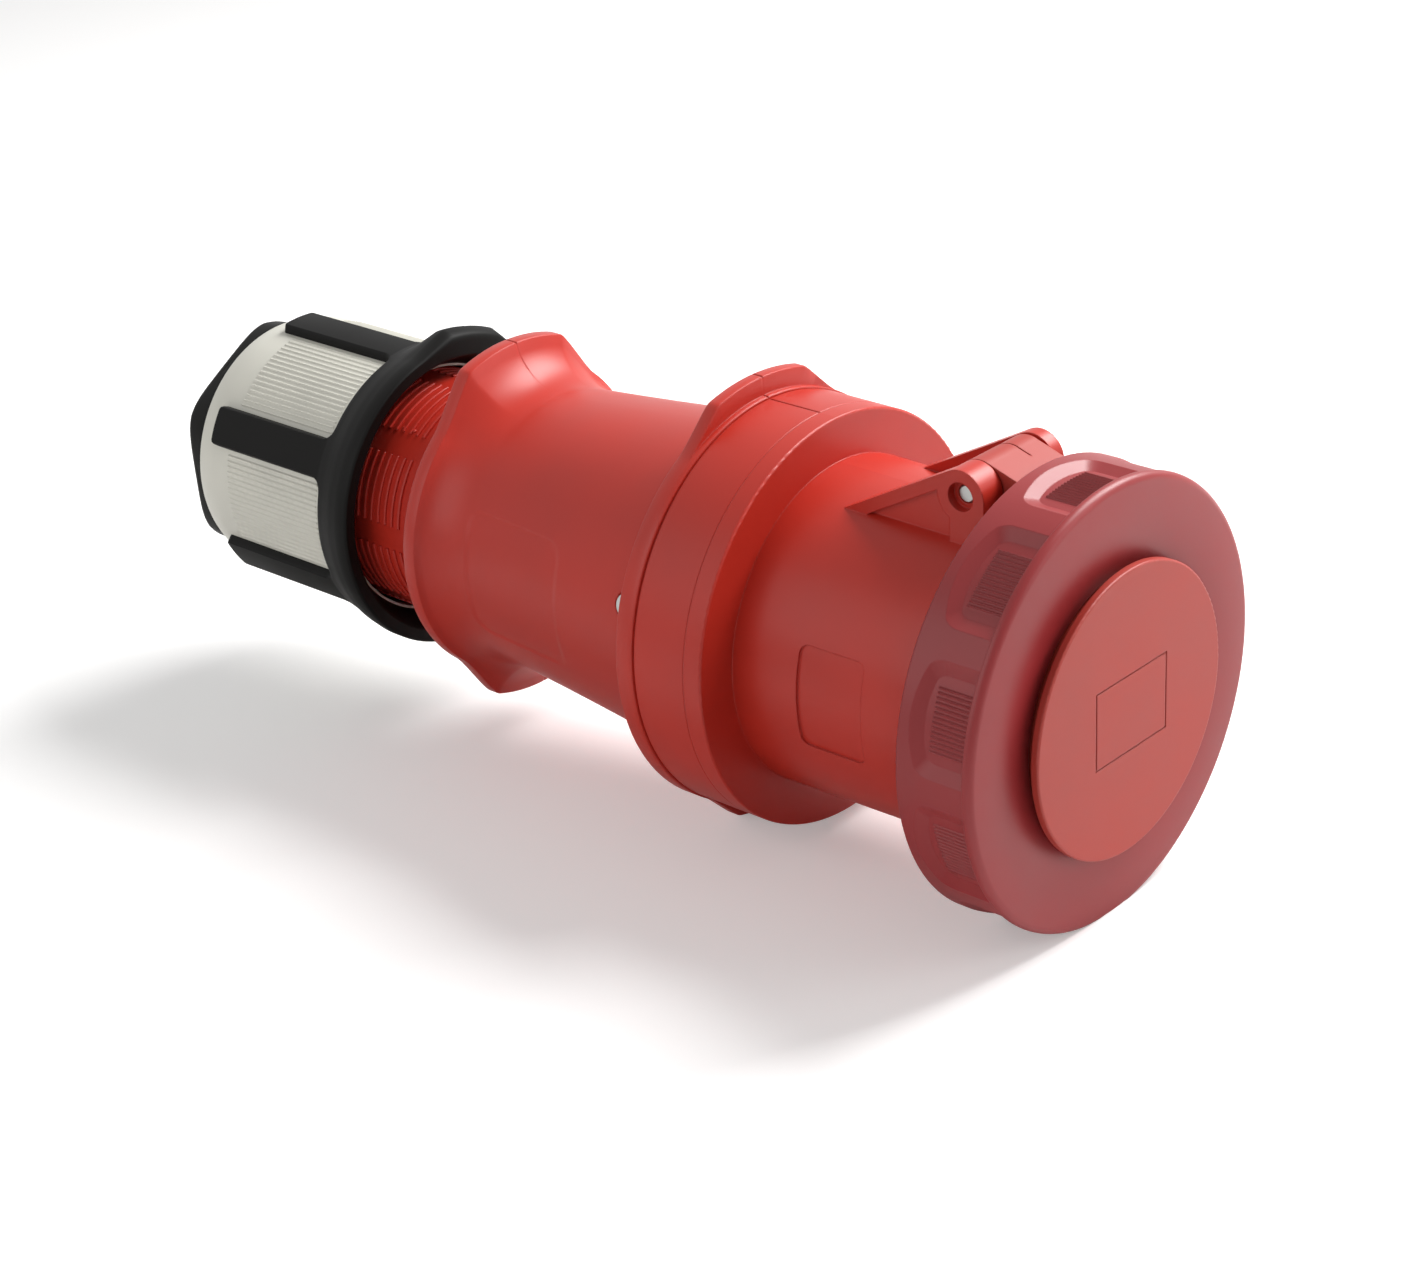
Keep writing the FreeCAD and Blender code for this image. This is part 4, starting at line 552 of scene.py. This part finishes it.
def housing_turns():
    """The angles of the rear housing's mesh, closer together where its surface has fine detail."""
    turns = spread(*TURNS, HOUSING_STEP_DEG)
    turns += [SCREW_DEG + i * FINE_DEG for i in range(-SCREW_STEPS, SCREW_STEPS + 1)]
    for side in (-1, 1):
        for middle in LOBE_ANGLES:
            turns += [middle + side * PARTING_HALF_DEG * step for step in PARTING_STEPS]
            for half_deg in (COLLAR_LOBE_HALF_DEG, FLANGE_LOBE_HALF_DEG):
                turns += [middle + side * (half_deg + i * FINE_DEG) for i in range(LOBE_STEPS)]
        for middle in PANEL_ANGLES:
            turns += [middle + side * (PANEL_EDGE_DEG + i * FINE_DEG) for i in range(-PANEL_STEPS, PANEL_STEPS + 1)]
    return in_order(turns)


def add_rear_housing(material):
    """The rear housing: collar, lobes, handle, flange and the plain spigot, closed by its inner walls."""
    turns = housing_turns()
    rings = [*collar_rings(turns), *handle_rings(turns), *SPIGOT_PROFILE, *HOUSING_INSIDE]
    settle(closed_mesh("rear_housing_shell", rings, turns), "housing", "housing_red", material, "rear_housing")


def arc_block(name, x_rear, x_front, r_in, r_out, half_deg, edge):
    """A short rib round the axis at the top, with bevelled edges."""
    mesh = bmesh.new()
    section = [(x_rear, r_in), (x_rear, r_out - edge), (x_rear + edge, r_out), (x_front - edge, r_out),
               (x_front, r_out - edge), (x_front, r_in)]
    rows = []
    for deg in spread(-half_deg, half_deg, half_deg / RIB_STEPS) + [half_deg]:
        rows.append([mesh.verts.new(round_axis(x, r, deg)) for x, r in section])
    for row, ahead in zip(rows, rows[1:]):
        for i in range(len(section)):
            j = (i + 1) % len(section)
            mesh.faces.new((row[i], row[j], ahead[j], ahead[i]))
    mesh.faces.new(rows[0])
    mesh.faces.new(rows[-1])
    bmesh.ops.recalc_face_normals(mesh, faces=mesh.faces)
    return shaded(name, mesh)


def dot(name, x, r, radius):
    """A small round-topped dot at the top of a round surface."""
    mesh = bmesh.new()
    bmesh.ops.create_uvsphere(mesh, u_segments=DOT_SEGMENTS, v_segments=DOT_RINGS, radius=radius)
    bmesh.ops.translate(mesh, verts=mesh.verts, vec=round_axis(x, r, 0))
    return shaded(name, mesh)


def repeat_tree():
    """Geometry Nodes: repeats a piece in rows along the axis and in columns round it."""
    tree = bpy.data.node_groups.new("rows_round_the_axis", "GeometryNodeTree")
    tree.is_modifier = True
    face = tree.interface
    face.new_socket("Geometry", in_out="OUTPUT", socket_type="NodeSocketGeometry")
    face.new_socket("Piece", in_out="INPUT", socket_type="NodeSocketGeometry")
    for label, kind in (("Rows", "Int"), ("Row Pitch", "Float"), ("Columns", "Int"), ("Column Step", "Float"),
                        ("First Turn", "Float"), ("Finish", "Material")):
        face.new_socket(label, in_out="INPUT", socket_type="NodeSocket" + kind)
    given = add(tree, "NodeGroupInput")
    index = add(tree, "GeometryNodeInputIndex")
    total = add(tree, "ShaderNodeMath", {0: (given, "Rows"), 1: (given, "Columns")}, operation="MULTIPLY")
    points = add(tree, "GeometryNodeMeshLine", {"Count": (total, "Value"), "Offset": (0.0, 0.0, 0.0)})
    part = add(tree, "ShaderNodeMath", {0: (index, "Index"), 1: (given, "Columns")}, operation="DIVIDE")
    row = add(tree, "ShaderNodeMath", {0: (part, "Value")}, operation="FLOOR")
    column = add(tree, "ShaderNodeMath", {0: (index, "Index"), 1: (given, "Columns")}, operation="MODULO")
    back = add(tree, "ShaderNodeMath", {0: (row, "Value"), 1: (given, "Row Pitch")}, operation="MULTIPLY")
    place = add(tree, "ShaderNodeCombineXYZ", {"X": (back, "Value")})
    laid = add(tree, "GeometryNodeSetPosition", {"Geometry": (points, "Mesh"), "Position": (place, "Vector")})
    step = add(tree, "ShaderNodeMath", {0: (column, "Value"), 1: (given, "Column Step")}, operation="MULTIPLY")
    turn = add(tree, "ShaderNodeMath", {0: (step, "Value"), 1: (given, "First Turn")}, operation="ADD")
    turned = add(tree, "ShaderNodeCombineXYZ", {"X": (turn, "Value")})
    copies = add(tree, "GeometryNodeInstanceOnPoints", {
        "Points": (laid, "Geometry"), "Instance": (given, "Piece"), "Rotation": (turned, "Vector")})
    solid = add(tree, "GeometryNodeRealizeInstances", {"Geometry": (copies, "Instances")})
    coated = add(tree, "GeometryNodeSetMaterial", {"Geometry": (solid, "Geometry"), "Material": (given, "Finish")})
    add(tree, "NodeGroupOutput", {"Geometry": (coated, "Geometry")})
    return tree


def repeated(tree, base, finish, rows, pitch, columns, step_deg, first_deg):
    """The plain mesh of a piece, repeated by the tree and laid where the coupler lies."""
    item = bpy.data.objects.new(base.name + "_base", base)
    bpy.context.scene.collection.objects.link(item)
    modifier = item.modifiers.new("rows", "NODES")
    modifier.node_group = tree
    values = {"Rows": rows, "Row Pitch": -pitch, "Columns": columns, "Column Step": -math.radians(step_deg),
              "First Turn": -math.radians(first_deg), "Finish": finish}
    for socket in tree.interface.items_tree:
        if socket.name in values and socket.in_out == "INPUT":
            modifier[socket.identifier] = values[socket.name]
    graph = bpy.context.evaluated_depsgraph_get()
    mesh = bpy.data.meshes.new_from_object(item.evaluated_get(graph))
    bpy.data.objects.remove(item)
    mesh.name = base.name + "_rows"
    mesh.transform(standing())
    return mesh


def add_spigot_details(material):
    """The interrupted thread of the spigot and the three index dots beside it."""
    tree = repeat_tree()
    rib = arc_block("spigot_thread_ribs", RIB_FRONT_X - RIB_WIDTH, RIB_FRONT_X,
                    SPIGOT_R - RIB_ROOT, SPIGOT_R + RIB_HEIGHT, RIB_HALF_DEG, RIB_EDGE)
    ribs = repeated(tree, rib, material, RIB_ROWS, RIB_PITCH, RIB_SECTORS, 360 / RIB_SECTORS, RIB_TURN_DEG)
    settle(ribs, "housing", "housing_red", material)
    mark = dot("spigot_index_dots", DOT_FRONT_X, SPIGOT_R + DOT_RISE, DOT_R)
    marks = repeated(tree, mark, material, DOT_ROWS, DOT_PITCH, 1, 0.0, DOT_DEG)
    settle(marks, "housing", "housing_red", material)


def grip_r(x, deg):
    """The soft grip's outer radius: a lobed collar, then bars with sunken windows between them."""
    lobe = lobe_share(deg, (GRIP_LOBE_DEG,), GRIP_LOBE_HALF_DEG, GRIP_LOBE_FLANK_DEG)
    top = along(GRIP_PROFILE, x) + GRIP_LOBE_RISE * lobe * along(GRIP_LOBE_RUN, x)
    pitch = 360 / BAR_COUNT
    middle = BAR_TURN_DEG + (math.floor((deg - BAR_TURN_DEG) / pitch) + 0.5) * pitch
    half = math.radians(pitch / 2) * BAR_MEAN_R - BAR_HALF_WIDTH
    side_x = x - WINDOW_FRONT_X + WINDOW_CORNER
    side_y = math.radians(off_centre(deg, middle)) * BAR_MEAN_R - half + WINDOW_CORNER
    wall = math.hypot(max(side_x, 0), max(side_y, 0)) + min(max(side_x, side_y), 0) - WINDOW_CORNER
    end = x - BAR_REAR_X
    inside = BAR_CORNER - math.hypot(max(BAR_CORNER - wall, 0), max(BAR_CORNER - end, 0))
    return GRIP_HIDDEN_R + (top - GRIP_HIDDEN_R) * eased(0, BAR_SIDE, inside)


def add_soft_grip(material):
    """The black soft grip: a collar with a conical mouth, and six bars moulded over the nut."""
    turns = spread(*TURNS, GRIP_STEP_DEG)
    for i in range(BAR_COUNT):
        middle = BAR_TURN_DEG + i * 360 / BAR_COUNT
        turns += [middle + side * (BAR_EDGE_DEG + j * FINE_DEG) for side in (-1, 1) for j in range(BAR_EDGE_STEPS)]
    turns = in_order(turns)
    stations = [x for x, _ in GRIP_PROFILE[:GRIP_FACE_POINTS]] + [x for run in GRIP_RUNS for x in spread(*run)]
    rings = [(x, [grip_r(x, deg) for deg in turns]) for x in stations + [GRIP_END_X]]
    mouth = []
    for deg in turns:
        lobe = lobe_share(deg, (GRIP_LOBE_DEG,), GRIP_LOBE_HALF_DEG, GRIP_LOBE_FLANK_DEG)
        mouth.append(GRIP_MOUTH_R + GRIP_LOBE_RISE * GRIP_LOBE_RUN[0][1] * lobe)
    rings += [*GRIP_INSIDE, (GRIP_FRONT_X, mouth)]
    settle(closed_mesh("gland_soft_grip", rings, turns), "gland_nut", "grip_black", material, "gland_grip_frame")


def end_ring_outline(deg):
    """The end ring's radius at an angle: six flats that run softly into a round."""
    side_deg = 360 / END_RING_SIDES
    flat_r = END_RING_FLAT_R / math.cos(math.radians((deg - BAR_TURN_DEG) % side_deg - side_deg / 2))
    soft = flat_r ** -END_RING_SHARPNESS + END_RING_CORNER_R ** -END_RING_SHARPNESS
    return soft ** (-1 / END_RING_SHARPNESS)


def add_end_ring(material):
    """The six-sided black ring at the cable's entry, with its sleeve inside the nut."""
    turns = spread(*TURNS, END_RING_STEP_DEG)
    outline = [end_ring_outline(deg) for deg in turns]
    rings = [(x, [r - drop for r in outline]) for x, drop in END_RING_RIM]
    rings += END_RING_INSIDE
    settle(closed_mesh("cable_end_ring", rings, turns), "gland_nut", "grip_black", material, "gland_end_ring")


def add_ring_plate(material):
    """The ring's front plate: a rim that closes the grip pockets, and a face that runs on under the lid's disc."""
    arc_r = RING_FRONT_ROUND + PLATE_PROUD
    arc = []
    for i in range(PLATE_ARC_STEPS + 1):
        turn = math.radians(i * 90 / PLATE_ARC_STEPS)
        arc.append((-RING_FRONT_ROUND + arc_r * math.sin(turn), RING_R - RING_FRONT_ROUND + arc_r * math.cos(turn)))
    rings = [*PLATE_RIM, *arc, *PLATE_INSIDE]
    plate = closed_mesh("bayonet_ring_front_plate", rings, spread(*TURNS, PLATE_STEP_DEG))
    settle(plate, "bayonet_ring", "ring_red", material)


def finish_nodes():
    """Makes the finishes, and gives every CAD node its own."""
    finishes = {name: moulded_plastic(name, *values) for name, values in PLASTICS.items()}
    finishes.update({name: turned_metal(name, *values) for name, values in METALS.items()})
    for name, nodes in FINISHED_NODES.items():
        for node in nodes:
            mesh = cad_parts[node].data
            mesh.materials.clear()
            mesh.materials.append(finishes[name])
    return finishes


def floor_material():
    """Matt white studio board, which glows a little towards the camera so that it stays pale."""
    material, tree = new_material("studio_board_white")
    ray = add(tree, "ShaderNodeLightPath")
    matt = add(tree, "ShaderNodeBsdfDiffuse", {"Color": linear(FLOOR_WHITE)})
    seen = add(tree, "ShaderNodeMath", {0: (ray, "Is Camera Ray"), 1: FLOOR_GLOW}, operation="MULTIPLY")
    glow = add(tree, "ShaderNodeEmission", {"Color": linear(SKY_WHITE), "Strength": (seen, "Value")})
    both = add(tree, "ShaderNodeAddShader", {0: (matt, "BSDF"), 1: (glow, "Emission")})
    add(tree, "ShaderNodeOutputMaterial", {"Surface": (both, "Shader")})
    return material


def add_floor():
    """The plain floor that the coupler lies on."""
    half = FLOOR_SIZE / 2
    mesh = bpy.data.meshes.new("floor")
    mesh.from_pydata([(-half, -half, 0), (half, -half, 0), (half, half, 0), (-half, half, 0)], [], [(0, 1, 2, 3)])
    mesh.materials.append(floor_material())
    floor = bpy.data.objects.new("floor", mesh)
    bpy.context.scene.collection.objects.link(floor)


def add_sky():
    """Soft light from all round, and plain white where the camera sees past the floor."""
    world = bpy.data.worlds.new("studio")
    bpy.context.scene.world = world
    world.use_nodes = True
    tree = world.node_tree
    tree.nodes.clear()
    ray = add(tree, "ShaderNodeLightPath")
    seen = add(tree, "ShaderNodeMath", {0: (ray, "Is Camera Ray"), 1: (ray, "Is Glossy Ray")}, operation="MAXIMUM")
    seen = add(tree, "ShaderNodeMath", {0: (seen, "Value"), 1: (ray, "Is Transmission Ray")}, operation="MAXIMUM")
    strength = add(tree, "ShaderNodeMapRange", {"Value": (seen, "Value"), "To Min": SKY_LIGHT, "To Max": 1.0})
    sky = add(tree, "ShaderNodeBackground", {"Color": linear(SKY_WHITE), "Strength": (strength, "Result")})
    add(tree, "ShaderNodeOutputWorld", {"Surface": (sky, "Background")})


def add_soft_box(name, place, aim, size, power):
    """A square soft box that shines at a point."""
    lamp = bpy.data.lights.new(name, "AREA")
    lamp.shape = "SQUARE"
    lamp.size = size
    lamp.energy = power
    item = bpy.data.objects.new(name, lamp)
    item.location = place
    item.rotation_euler = (Vector(aim) - Vector(place)).to_track_quat("-Z", "Y").to_euler()
    bpy.context.scene.collection.objects.link(item)


def add_camera():
    """The camera at the photograph's place."""
    data = bpy.data.cameras.new("photo_camera")
    data.sensor_width = CAMERA_SENSOR
    data.lens = CAMERA_LENS
    camera = bpy.data.objects.new("photo_camera", data)
    camera.location = CAMERA_PLACE
    camera.rotation_euler = [math.radians(turn) for turn in CAMERA_TURN_DEG]
    bpy.context.scene.collection.objects.link(camera)
    bpy.context.scene.camera = camera


def main():
    """Sets up the studio, and dresses the coupler."""
    bpy.context.scene.view_settings.view_transform = "Standard"
    add_camera()
    add_floor()
    add_sky()
    for name, settings in SOFT_BOXES.items():
        add_soft_box(name, *settings)
    finishes = finish_nodes()
    add_rear_housing(finishes["polyamide_signal_red"])
    add_spigot_details(finishes["polyamide_signal_red"])
    add_soft_grip(finishes["soft_grip_black"])
    add_end_ring(finishes["soft_grip_black"])
    add_ring_plate(finishes["polyamide_wine_red"])


main()
